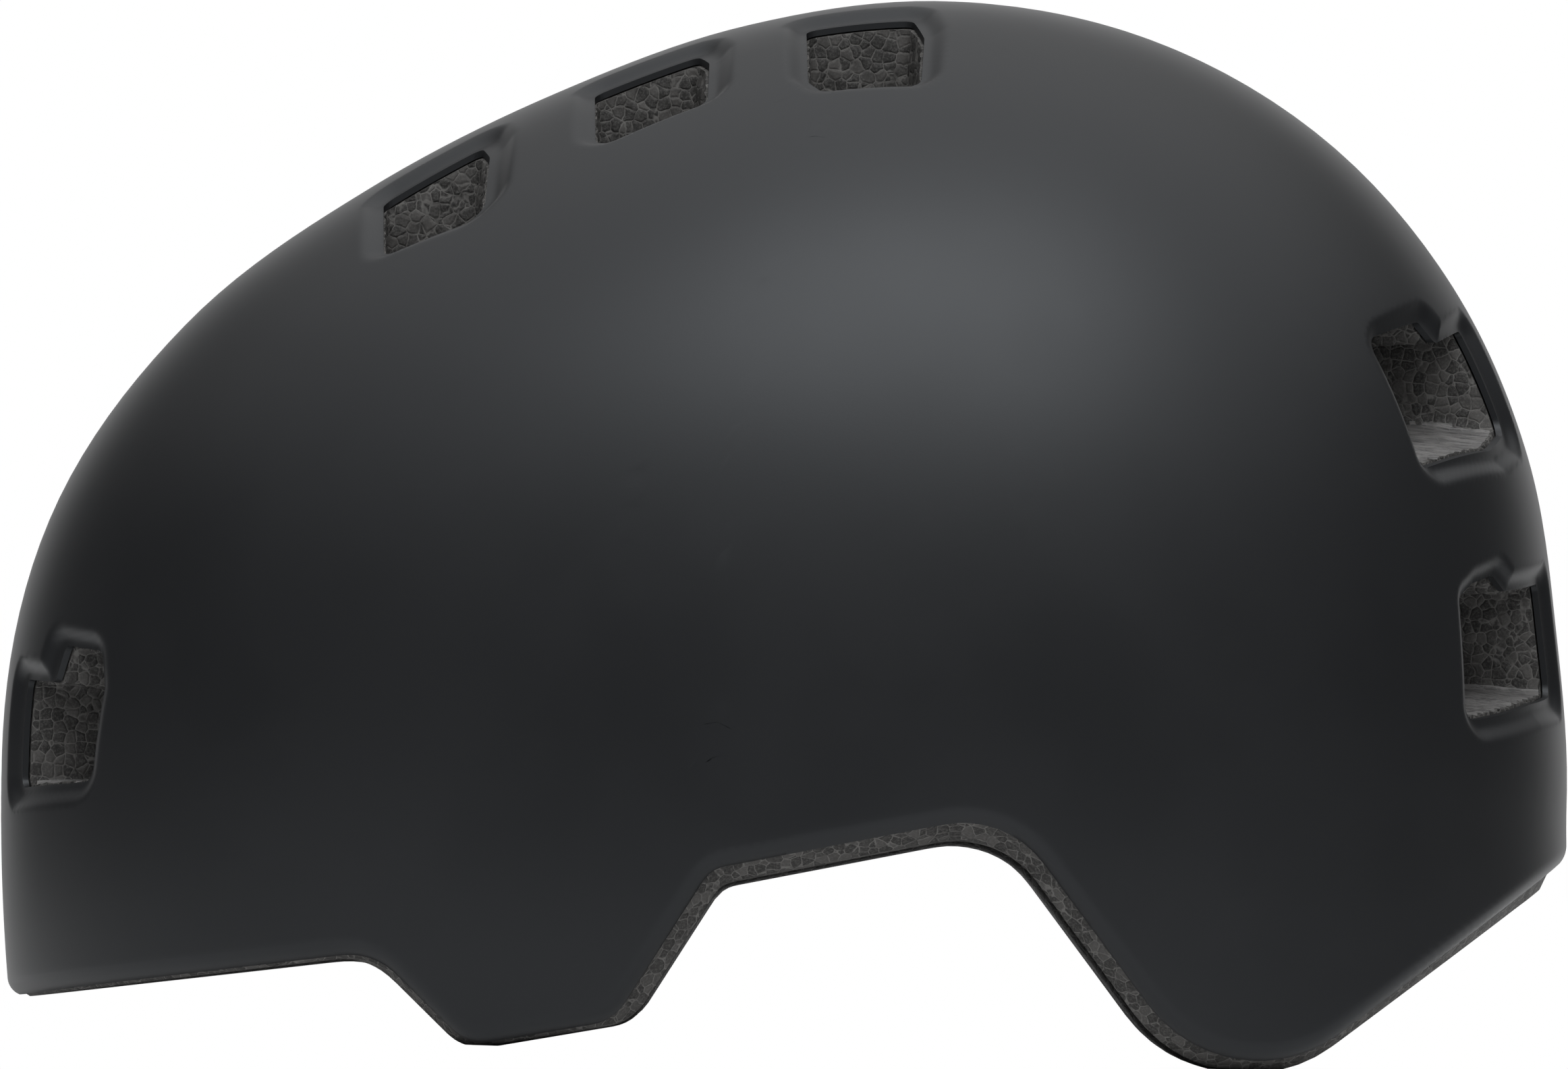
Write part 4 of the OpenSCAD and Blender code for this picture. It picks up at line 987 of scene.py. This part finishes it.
# Way round the buckle's bar: distance from the buckle's end and height above the bar
ROUND_BAR = ((-3, 1), (0.5, 0), (2.8, 0.4), (4.1, 2.6), (4.2, 5.6))


def wall_frame(az, s, stand):
    """Origin and x forward, y up and z to the head on the inner wall."""
    o, n = wall_point(az, s, stand), inward(FOAM_IN, az, s)
    t = unit(np.cross([0, 0, 1.0], n))
    return o, t, np.cross(n, t), n


def side_strap(route, anchor):
    """Side strap: out of its anchor, over the bar, along the wall and in under the cam lock."""
    az, s, turned = anchor
    o, x, y, z = wall_frame(az, s, ANCHOR_STAND)
    up = -sind(turned) * x + cosd(turned) * y
    low = [o + d * up + h * z for d, h in OVER_BAR]
    t = np.linspace(0, len(route) - 1, 26)
    k = spline(route, t)
    stand = lerp(WEB_STAND, 0.45, smooth(len(route) - 2.2, len(route) - 1.4, t))
    path = curve(np.vstack([low, wall_point(k[:, 0], k[:, 1], stand)[1:]]))
    n = inward(FOAM_IN, *k[len(k) // 2])
    side = unit(np.cross(unit(np.gradient(path, axis=0)), n))
    return path, *frames(path, side, n)


def chin_wall(k):
    """Chin strap on the wall, from the cam lock at 0 to the turn towards the buckle at 1."""
    return wall_point(90.0, lerp(0.438, 0.74, k), WEB_STAND)


def chin_strap(bar_z):
    """Chin strap of the left side: from under the cam lock up the wall, down to the buckle, under
    its bar and up its slot."""
    low = [wall_point(90.0, s, g) for s, g in UNDER_LOCK]
    wall = [chin_wall(k) for k in np.linspace(0, 1, 9)]
    down = (BUCKLE_X, -BUCKLE_HALF - 8.5, lerp(bar_z, wall[-1][2], 0.55))
    end = [(BUCKLE_X, -BUCKLE_HALF + d, bar_z + h) for d, h in ROUND_BAR]
    path = curve(np.vstack([low, wall, down, end]))
    side = np.broadcast_to([1.0, 0, 0], path.shape)
    return path, *frames(path, side, np.array([0, 0.5, -1.0]))


def webbing(name, strap, tacks, mirror=False):
    """Ribbon with its bar tacks in thread."""
    path, across, out = strap
    points, faces, uv = ribbon(path, across, out)
    threads = [t for at in tacks for t in bar_tack(path, across, out, at)]
    uv = np.vstack([uv] + [np.full((len(q), 2), THREAD_MARK) for q, _ in threads])
    points, faces = joined([(points, faces)] + threads)
    if mirror:
        points, faces = points * [1, -1, 1], turned_round(faces)
    return shade(new_mesh(name, points, faces, uv), 50)


# Shader graphs

class Socket:
    """Output of a node that takes part in arithmetic, each operator as a Math node."""

    def __init__(self, graph, output):
        self.graph, self.output = graph, output

    def _math(self, operation, *values):
        return self.graph.node("Math", {"operation": operation}, dict(enumerate(values)))

    def __add__(self, other):
        return self._math("ADD", self, other)

    def __sub__(self, other):
        return self._math("SUBTRACT", self, other)

    def __mul__(self, other):
        return self._math("MULTIPLY", self, other)

    def __rsub__(self, other):
        return self._math("SUBTRACT", other, self)

    __radd__, __rmul__ = __add__, __mul__

    def __truediv__(self, other):
        return self._math("DIVIDE", self, other)

    def floor(self):
        return self._math("FLOOR", self)

    def fraction(self):
        return self._math("FRACT", self)

    def sine(self):
        return self._math("SINE", self)

    def size(self):
        return self._math("ABSOLUTE", self)

    def at_least(self, other):
        return self._math("MAXIMUM", self, other)

    def ramp(self, low, high, to_low=0.0, to_high=1.0):
        """Smooth step from to_low at low to to_high at high."""
        return self.graph.node("MapRange", {"interpolation_type": "SMOOTHSTEP"},
                               {"Value": self, 1: low, 2: high, 3: to_low, 4: to_high})


class Graph:
    """Node tree of a material or of the world, cleared of what it starts with."""

    def __init__(self, tree):
        self.tree = tree
        tree.nodes.clear()

    def end(self, surface, kind="Material"):
        """Links a shader to a new output."""
        out = self.tree.nodes.new("ShaderNodeOutput" + kind)
        self.tree.links.new(surface.output, out.inputs["Surface"])

    def node(self, kind, settings=(), inputs=(), output=0):
        """Output of a new node with its settings and the values or links of its sockets."""
        made = self.tree.nodes.new("ShaderNode" + kind)
        for key, value in dict(settings).items():
            setattr(made, key, value)
        for key, value in dict(inputs).items():
            if isinstance(value, Socket):
                self.tree.links.new(value.output, made.inputs[key])
            else:
                made.inputs[key].default_value = value
        return Socket(self, made.outputs[output])

    def place(self, *scale):
        """Object coordinates in millimetres, times one scale or one for each axis."""
        point = self.node("TexCoord", output="Object")
        scale = np.broadcast_to(np.array(scale or (1.0,)) / MM, 3)
        return self.node("Mapping", inputs={"Vector": point, "Scale": scale.tolist()})

    def noise(self, vector, scale, detail=3, rough=0.5, output=0):
        return self.node("TexNoise", {}, {"Vector": vector, "Scale": scale, "Detail": detail,
                                          "Roughness": rough}, output)

    def cells(self, vector, feature, output="Distance", rand=1.0):
        return self.node("TexVoronoi", {"feature": feature},
                         {"Vector": vector, "Scale": 1.0, "Randomness": rand}, output)

    def part(self, value, k, kind="XYZ"):
        """One part of a vector or a colour."""
        return self.node("Separate" + kind, {}, {0: value}, k)

    def mix(self, share, a, b):
        """Colour from a at share 0 to b at share 1."""
        return self.node("Mix", {"data_type": "RGBA"}, {0: share, 6: a, 7: b}, 2)

    def bump(self, height, size, strength):
        """Bump from a height between 0 and 1 that stands for a size in millimetres."""
        inputs = {"Height": height, "Distance": size * MM, "Strength": strength}
        return self.node("Bump", {}, inputs)


def rgb(*c):
    return (*c, 1.0)


def new_material(name):
    material = bpy.data.materials.new(name)
    material.use_nodes = True
    return material, Graph(material.node_tree)


def finish(name, build):
    """Material whose surface is a Principled shader with the values and links that build gives."""
    material, graph = new_material(name)
    graph.end(graph.node("BsdfPrincipled", {}, build(graph), "BSDF"))
    return material


def shell_paint(g):
    """Matt black coating, slightly blue, with a fine orange peel and faint handling marks."""
    p = g.place()
    cloud = g.noise(p, 0.02, 3)
    grain = g.noise(p, 3.2, 2)
    colour = g.mix(cloud.ramp(0.35, 0.65),
                   rgb(0.0056, 0.0059, 0.0067), rgb(0.0072, 0.0075, 0.0084))
    rough = cloud.ramp(0.3, 0.7, 0.42, 0.46)
    return {"Base Color": colour, "Roughness": rough, "Specular IOR Level": 0.36,
            "Specular Tint": rgb(0.9, 0.95, 1.0), "Normal": g.bump(grain, 0.02, 0.25)}


def foam_beads(g):
    """Moulded foam: dark mottled beads pressed into cells, some paler, with thin pale seams."""
    p = g.place(1 / 2.0)
    wobble = g.noise(p, 1.6, 2)
    bent = g.node("VectorMath", {"operation": "MULTIPLY_ADD"},
                  {0: g.noise(p, 1.3, 1, output="Color"), 1: (0.3, 0.3, 0.3), 2: p})
    edge = g.cells(bent, "DISTANCE_TO_EDGE", rand=0.75)
    tone = g.part(g.cells(bent, "F1", "Color", 0.75), 0, "Color")
    fine = g.noise(p, 5.0, 5, 0.65)
    seam = edge.ramp(0.01, 0.07, 1.0, 0.0) * wobble.ramp(0.3, 0.6, 0.15, 0.7)
    bead = g.mix(tone.ramp(0.35, 1.0), rgb(0.02, 0.0195, 0.019), rgb(0.062, 0.06, 0.058))
    bead = g.mix(fine.ramp(0.4, 0.7, 0.0, 0.6), bead, rgb(0.1, 0.098, 0.095))
    colour = g.mix(seam, bead, rgb(0.15, 0.147, 0.142))
    height = edge.ramp(0.0, 0.2) + fine * 0.3 + wobble * 0.2
    return {"Base Color": colour, "Roughness": 0.7, "Specular IOR Level": 0.3,
            "Normal": g.bump(height, 0.2, 0.6)}


def brushed_foam_painted_light(g):
    """Foam that the mould's slides have smeared: streaks along their way over faint beads, and the
    whole painted paler than the bead foam, as painted light on the vent floors that face up.
    """
    streak = g.noise(g.place(0.07, 1.5, 1.5), 1.0, 5, 0.7)
    patch = g.noise(g.place(), 0.3, 3)
    edge = g.cells(g.place(1 / 2.0), "DISTANCE_TO_EDGE", rand=0.75)
    pale = rgb(0.2, 0.196, 0.19)
    # The floor foam is painted paler than the bead foam: painted light falling on these upward
    # floors
    colour = g.mix(streak.ramp(0.4, 0.62), rgb(0.045, 0.0445, 0.045), rgb(0.15, 0.148, 0.148))
    colour = g.mix(patch.ramp(0.35, 0.7, 0.0, 0.4), colour, pale)
    colour = g.mix(edge.ramp(0.01, 0.06, 0.3, 0.0), colour, pale)
    return {"Base Color": colour, "Roughness": 0.55, "Specular IOR Level": 0.4,
            "Normal": g.bump(streak, 0.15, 0.5)}


def moulded_plastic(g):
    """Black nylon with a spark-eroded grain."""
    p = g.place()
    grain = g.noise(p, 4.5, 2)
    cloud = g.noise(p, 0.08, 2)
    colour = g.mix(cloud, rgb(0.033, 0.033, 0.035), rgb(0.043, 0.043, 0.045))
    return {"Base Color": colour, "Roughness": grain.ramp(0.2, 0.8, 0.4, 0.5),
            "Specular IOR Level": 0.4, "Normal": g.bump(grain, 0.03, 0.4)}


def pad_cloth(g):
    """Brushed knit cloth: rows of loops with a soft nap."""
    p = g.place()
    loops = g.cells(g.place(1 / 0.75), "F1", rand=0.45)
    nap = g.noise(p, 2.2, 4, 0.6)
    cloud = g.noise(p, 0.12, 3)
    colour = g.mix(nap.ramp(0.35, 0.7), rgb(0.045, 0.045, 0.048), rgb(0.095, 0.095, 0.1))
    colour = g.mix(cloud.ramp(0.4, 0.7, 0.0, 0.35), colour, rgb(0.12, 0.12, 0.125))
    height = loops.ramp(0.1, 0.6, 1.0, 0.0) + nap * 0.6
    return {"Base Color": colour, "Roughness": 0.93, "Specular IOR Level": 0.25,
            "Sheen Weight": 0.25, "Sheen Roughness": 0.45, "Normal": g.bump(height, 0.16, 0.6)}


WARP, WEFT = 1.25, 1.15


def webbing_weave(g):
    """Woven polyester: two warp bands of slanted floats across the ribbon, and plain selvedges. The
    hollows between the floats and between the ribs are painted darker as painted shade.
    """
    own = g.node("UVMap", {"uv_map": "weave"})
    across, run = g.part(own, 0), g.part(own, 1)
    warp = across / WARP + 0.5
    slant = (warp.floor() * 0.5).fraction() * 4 - 1
    u = warp.fraction() - 0.5
    v = (run / WEFT + slant * u * 0.9).fraction() - 0.5
    floats = (1 - (u * 2).size().ramp(0.45, 1.0)) * (1 - (v * 2).size().ramp(0.35, 1.0))
    fibre = g.noise(g.place(), 3.0, 3, 0.6)
    thread = across.ramp(-40, -39, 1.0, 0.0)
    rib = (run * 5.4).sine() * 0.5 + 0.5
    edge = across.size().ramp(6.4, 6.9)
    height = g.node("Mix", {}, {0: edge, 2: floats, 3: rib}, 0)
    # Colour follows the height: floats and rib crests paler, the hollows between them painted shade
    tone = height * (fibre * 0.5 + 0.7)
    colour = g.mix(tone.ramp(0.1, 0.95), rgb(0.016, 0.016, 0.017), rgb(0.085, 0.085, 0.09))
    colour = g.mix(thread * 0.8, colour, rgb(0.09, 0.09, 0.094))
    return {"Base Color": colour, "Roughness": 0.72, "Specular IOR Level": 0.35,
            "Sheen Weight": 0.15, "Normal": g.bump(height + fibre * 0.2, 0.22, 0.8)}


def hook_tape(g):
    """Hook fastener: a field of small hooks in rows, the gaps between them painted dark as painted
    shade.
    """
    hooks = g.cells(g.place(1 / 0.9), "F1", rand=0.35)
    # Gaps between the hooks are painted nearly black, as painted shade
    colour = g.mix(hooks.ramp(0.15, 0.5), rgb(0.035, 0.035, 0.037), rgb(0.007, 0.007, 0.008))
    return {"Base Color": colour, "Roughness": 0.7, "Specular IOR Level": 0.3,
            "Normal": g.bump(hooks.ramp(0.1, 0.5, 1.0, 0.0), 0.5, 0.9)}


def soft_grip(g):
    """Soft-touch coating of the dial, smoother and paler where fingers rub it."""
    p = g.place()
    grain = g.noise(p, 6.0, 2)
    rubbed = g.noise(p, 0.25, 3)
    colour = g.mix(rubbed.ramp(0.45, 0.75), rgb(0.02, 0.02, 0.021), rgb(0.036, 0.036, 0.038))
    return {"Base Color": colour, "Roughness": rubbed.ramp(0.3, 0.7, 0.62, 0.5),
            "Specular IOR Level": 0.35, "Normal": g.bump(grain, 0.02, 0.3)}


def steel_finish(g):
    """Zinc-plated steel with a fine grain."""
    grain = g.noise(g.place(), 5.0, 2)
    return {"Base Color": rgb(0.55, 0.55, 0.57), "Metallic": 1.0,
            "Roughness": grain.ramp(0.3, 0.7, 0.28, 0.4), "Normal": g.bump(grain, 0.02, 0.2)}


SHELL_PAINT = finish("matt_shell", shell_paint)
BEADS = finish("bead_foam", foam_beads)
BRUSHED_PAINTED_LIGHT = finish("brushed_foam_painted_light", brushed_foam_painted_light)
PLASTIC = finish("black_nylon", moulded_plastic)
CLOTH = finish("pad_cloth", pad_cloth)
STEEL = finish("zinc_steel", steel_finish)
WEBBING = finish("woven_webbing", webbing_weave)
HOOKS = finish("hook_tape", hook_tape)
GRIP = finish("soft_grip", soft_grip)


# Pieces

def wear(obj, material):
    obj.data.materials.clear()
    obj.data.materials.append(material)
    return obj


def set_piece(obj, node, body="helmet"):
    """Puts a piece in a node's place, on the node's body."""
    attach(obj, body)
    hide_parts(node)
    return obj


set_piece(wear(outer_shell(), SHELL_PAINT), "outer_shell")

liner = wear(foam_liner(), BEADS)
liner.data.materials.append(BRUSHED_PAINTED_LIGHT)
# Upward vent floors take the paler foam, painted light from above
liner.data.polygons.foreach_set("material_index", vent_floors(liner).astype(np.int32))
set_piece(liner, "eps_liner")

# Head side of the dial housing, how fast it curves away from its middle, and the nape pad on it
HOUSING_FACE, HOUSING_CURVE = 90.3, 0.0035
NAPE_HALF, NAPE_Z, NAPE_W = 33.0, 27.0, 19.0
CHIN_PAD_W = 20.0


def nape(u, v, g):
    """Place of the nape pad on the dial housing's head side, a parabola in plan."""
    y = lerp(-NAPE_HALF, NAPE_HALF, u)
    x = HOUSING_FACE - g - HOUSING_CURVE * y * y
    return np.stack(np.broadcast_arrays(x, y, NAPE_Z + (v - 0.5) * NAPE_W), -1)


def on_chin_strap(u, v, g):
    """Place of the chin pad on the right chin strap, off its head side."""
    k = lerp(0.12, 0.8, u)
    p, q = chin_wall(k), chin_wall(k + 0.01)
    n = unit(np.cross([1.0, 0, 0], q - p))
    n = n * np.sign(-n[..., 2:])
    p = p + n * (WEB_T + np.asarray(g))[..., None]
    return np.stack([p[..., 0] + (0.5 - v) * CHIN_PAD_W, -p[..., 1], p[..., 2]], -1)


for name, node, place, length, width, channels in (
        ("brow_cushion", "brow_pad", round_wall(-31, 31, -0.68, -0.2), 118.0, 23.5,
         (0.24, 0.5, 0.76)),
        ("crown_cushion_front", "crown_pad_front", on_crown(-52, -13, 8.5), 78.0, 32.0, (0.5,)),
        ("crown_cushion_rear", "crown_pad_rear", on_crown(13, 50, 8.5), 68.0, 30.0, (0.5,))):
    cushion = wear(pad(name, place, length, width, channels=channels), CLOTH)
    set_piece(cushion, node)
for name, node, place in (
        ("side_cushion_front", "side_pad_front", round_wall(27, 64, 0.2, 0.47)),
        ("side_cushion_rear", "side_pad_rear", round_wall(116, 150, 0.2, 0.5))):
    left = wear(pad(name + "_left", place, 60.0, 38.0, channels=(0.5,)), CLOTH)
    right = twin(left, name + "_right")
    set_piece(left, node + "_left")
    set_piece(right, node + "_right")
nape_cushion = pad("nape_cushion", nape, 2 * NAPE_HALF, NAPE_W, stand=0.3, channels=(0.33, 0.67))
set_piece(wear(nape_cushion, CLOTH), "nape_pad", "cradle")
chin_cushion = pad("chin_cushion", on_chin_strap, 33.0, CHIN_PAD_W, thick=4.0, stand=0.3, cap=0.6)
set_piece(wear(chin_cushion, CLOTH), "chin_pad")

# Height of the buckle's bars and places of the bar tacks along the straps
TONGUE_BAR, SOCKET_BAR = 143.1, 142.6
SIDE_TACKS, CHIN_TACKS = (0.22,), (0.72,)

side_paths = {"front": side_strap(FRONT_STRAP, FRONT_ANCHOR),
              "rear": side_strap(REAR_STRAP, REAR_ANCHOR)}
for side, mirror in (("left", False), ("right", True)):
    for end, path in side_paths.items():
        strap = webbing(f"{end}_webbing_{side}", path, SIDE_TACKS, mirror)
        set_piece(wear(strap, WEBBING), f"{end}_strap_{side}")
chin_left = wear(webbing("chin_webbing_left", chin_strap(TONGUE_BAR), CHIN_TACKS), WEBBING)
tuple(chin_wall(0.45) * MM)
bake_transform(chin_left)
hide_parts("chin_strap_left")
chin_right = webbing("chin_webbing_right", chin_strap(SOCKET_BAR), CHIN_TACKS, True)
set_piece(wear(chin_right, WEBBING), "chin_strap_right")


# Carried pieces

FINISHES = {"cover_screws": STEEL, "dial_screw": STEEL, "detent_spring": STEEL,
            "hook_discs": HOOKS, "dial_knob": GRIP}
FINE_PIECES = ("detent_spring", "dial_pinion", "cover_screws", "dial_screw")
FINE_EASE, EASE = 0.12, 0.3


def smooth_group():
    """Node group that shades faces smooth and keeps edges of more than 50 degrees sharp."""
    tree = bpy.data.node_groups.new("smooth_faces", "GeometryNodeTree")
    for way in ("INPUT", "OUTPUT"):
        tree.interface.new_socket("Geometry", in_out=way, socket_type="NodeSocketGeometry")
    first, last, faces, edges, angle, over = (tree.nodes.new(kind) for kind in (
        "NodeGroupInput", "NodeGroupOutput", "GeometryNodeSetShadeSmooth",
        "GeometryNodeSetShadeSmooth", "GeometryNodeInputMeshEdgeAngle", "FunctionNodeCompare"))
    edges.domain = "EDGE"
    edges.inputs["Shade Smooth"].default_value = False
    over.inputs["B"].default_value = math.radians(50)
    for a, b in ((first.outputs[0], faces.inputs[0]), (faces.outputs[0], edges.inputs[0]),
                 (edges.outputs[0], last.inputs[0]),
                 (angle.outputs["Unsigned Angle"], over.inputs["A"]),
                 (over.outputs[0], edges.inputs["Selection"])):
        tree.links.new(a, b)
    return tree


SMOOTH = smooth_group()


def eased(obj, width):
    """Moulded look: corners eased by a small radius, round faces shaded smooth."""
    weld = obj.modifiers.new("weld", "WELD")
    weld.merge_threshold = 0.005 * MM
    flat = obj.modifiers.new("flat_faces", "DECIMATE")
    flat.decimate_type, flat.angle_limit = "DISSOLVE", math.radians(0.5)
    ease = obj.modifiers.new("eased_edges", "BEVEL")
    ease.width, ease.segments, ease.angle_limit = width * MM, 2, math.radians(32)
    ease.limit_method = "ANGLE"
    obj.modifiers.new("smooth_faces", "NODES").node_group = SMOOTH
    obj.modifiers.new("flat_shading", "WEIGHTED_NORMAL").keep_sharp = True


for node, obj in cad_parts.items():
    if obj.hide_render:
        continue
    wear(obj, FINISHES.get(node, PLASTIC))
    if node != "hook_discs":
        eased(obj, FINE_EASE if node in FINE_PIECES else EASE)


# Studio

AIM = np.array([-1.7, 0.0, 92.9])
PHOTO_SPAN = 280.0
TILT = 1.864
LENS, SENSOR = 1000.0, 36.0
EYE_DROP = 93.5
# Lamps: energy, angle across, tilt towards the camera and tilt to the side
LAMPS = {"key_softbox": (1.6, 44, 33, 1), "overhead_softbox": (0.8, 100, 20, 4)}
ROOM_LIGHT, DIM_SIDE = 0.45, 0.12
FLOOR_HALF = 320.0


def photo_camera():
    """Camera a hair below the floor's level, tipped up to the middle of the helmet and rolled as
    in the photograph."""
    camera = bpy.data.cameras.new("camera")
    camera.lens, camera.sensor_width = LENS, SENSOR
    camera.clip_start, camera.clip_end = 0.05, 60.0
    eye = new_object("camera", camera)
    place = AIM + np.array([0.0, -PHOTO_SPAN * LENS / SENSOR, -EYE_DROP])
    back = unit(place - AIM)
    up = np.array([-math.sin(math.radians(TILT)), 0.0, math.cos(math.radians(TILT))])
    right = unit(np.cross(up, back))
    turn = np.stack([right, np.cross(back, right), back], 1)
    rows = [[*turn[i], place[i] * MM] for i in range(3)]
    eye.matrix_world = Matrix(rows + [[0, 0, 0, 1]])
    bpy.context.scene.camera = eye


def lamps():
    """Two soft lights overhead."""
    for name, (energy, wide, fore, side) in LAMPS.items():
        sun = bpy.data.lights.new(name, "SUN")
        sun.energy, sun.angle = energy, math.radians(wide)
        lamp = new_object(name, sun)
        lamp.rotation_euler = (math.radians(fore), math.radians(side), 0)


def white_room():
    """World: white to the eye and through clear things, and in reflections white behind the helmet
    and above it and dim on the camera's side. It lights the rest evenly."""
    world = bpy.data.worlds.new("white_room")
    bpy.context.scene.world = world
    world.use_nodes = True
    g = Graph(world.node_tree)
    ray, glossy, through = (g.node("LightPath", output=f"Is {kind} Ray")
                            for kind in ("Camera", "Glossy", "Transmission"))
    way = g.node("TexCoord", output="Object")
    behind, above = g.part(way, 1).ramp(0.75, 1.0), g.part(way, 2).ramp(0.35, 0.85)
    mirrored = glossy * behind.at_least(above).ramp(0, 1, DIM_SIDE, 1.0)
    seen = ray.at_least(through).at_least(mirrored)
    strength = seen.at_least((1 - glossy) * ROOM_LIGHT)
    inputs = {"Color": rgb(1, 1, 1), "Strength": strength}
    g.end(g.node("Background", {}, inputs, "Background"), "World")


def white_floor():
    """White floor, clear from below, where the camera stands."""
    corners = FLOOR_HALF * np.array([[-1, -1], [1, -1], [1, 1], [-1, 1]])
    points = np.column_stack([corners, np.full(4, -0.1)])
    floor = new_mesh("floor", points, [np.array([[0, 1, 2, 3]])])
    material, g = new_material("white_floor")
    white = g.node("BsdfPrincipled", {}, {"Base Color": rgb(0.98, 0.98, 0.98), "Roughness": 0.9,
                                          "Specular IOR Level": 0.1}, "BSDF")
    clear = g.node("BsdfTransparent", {}, {}, "BSDF")
    under = g.node("NewGeometry", output="Backfacing")
    g.end(g.node("MixShader", {}, {0: under, 1: white, 2: clear}, "Shader"))
    wear(floor, material)


bpy.context.scene.view_settings.view_transform = "Standard"
photo_camera()
lamps()
white_room()
white_floor()
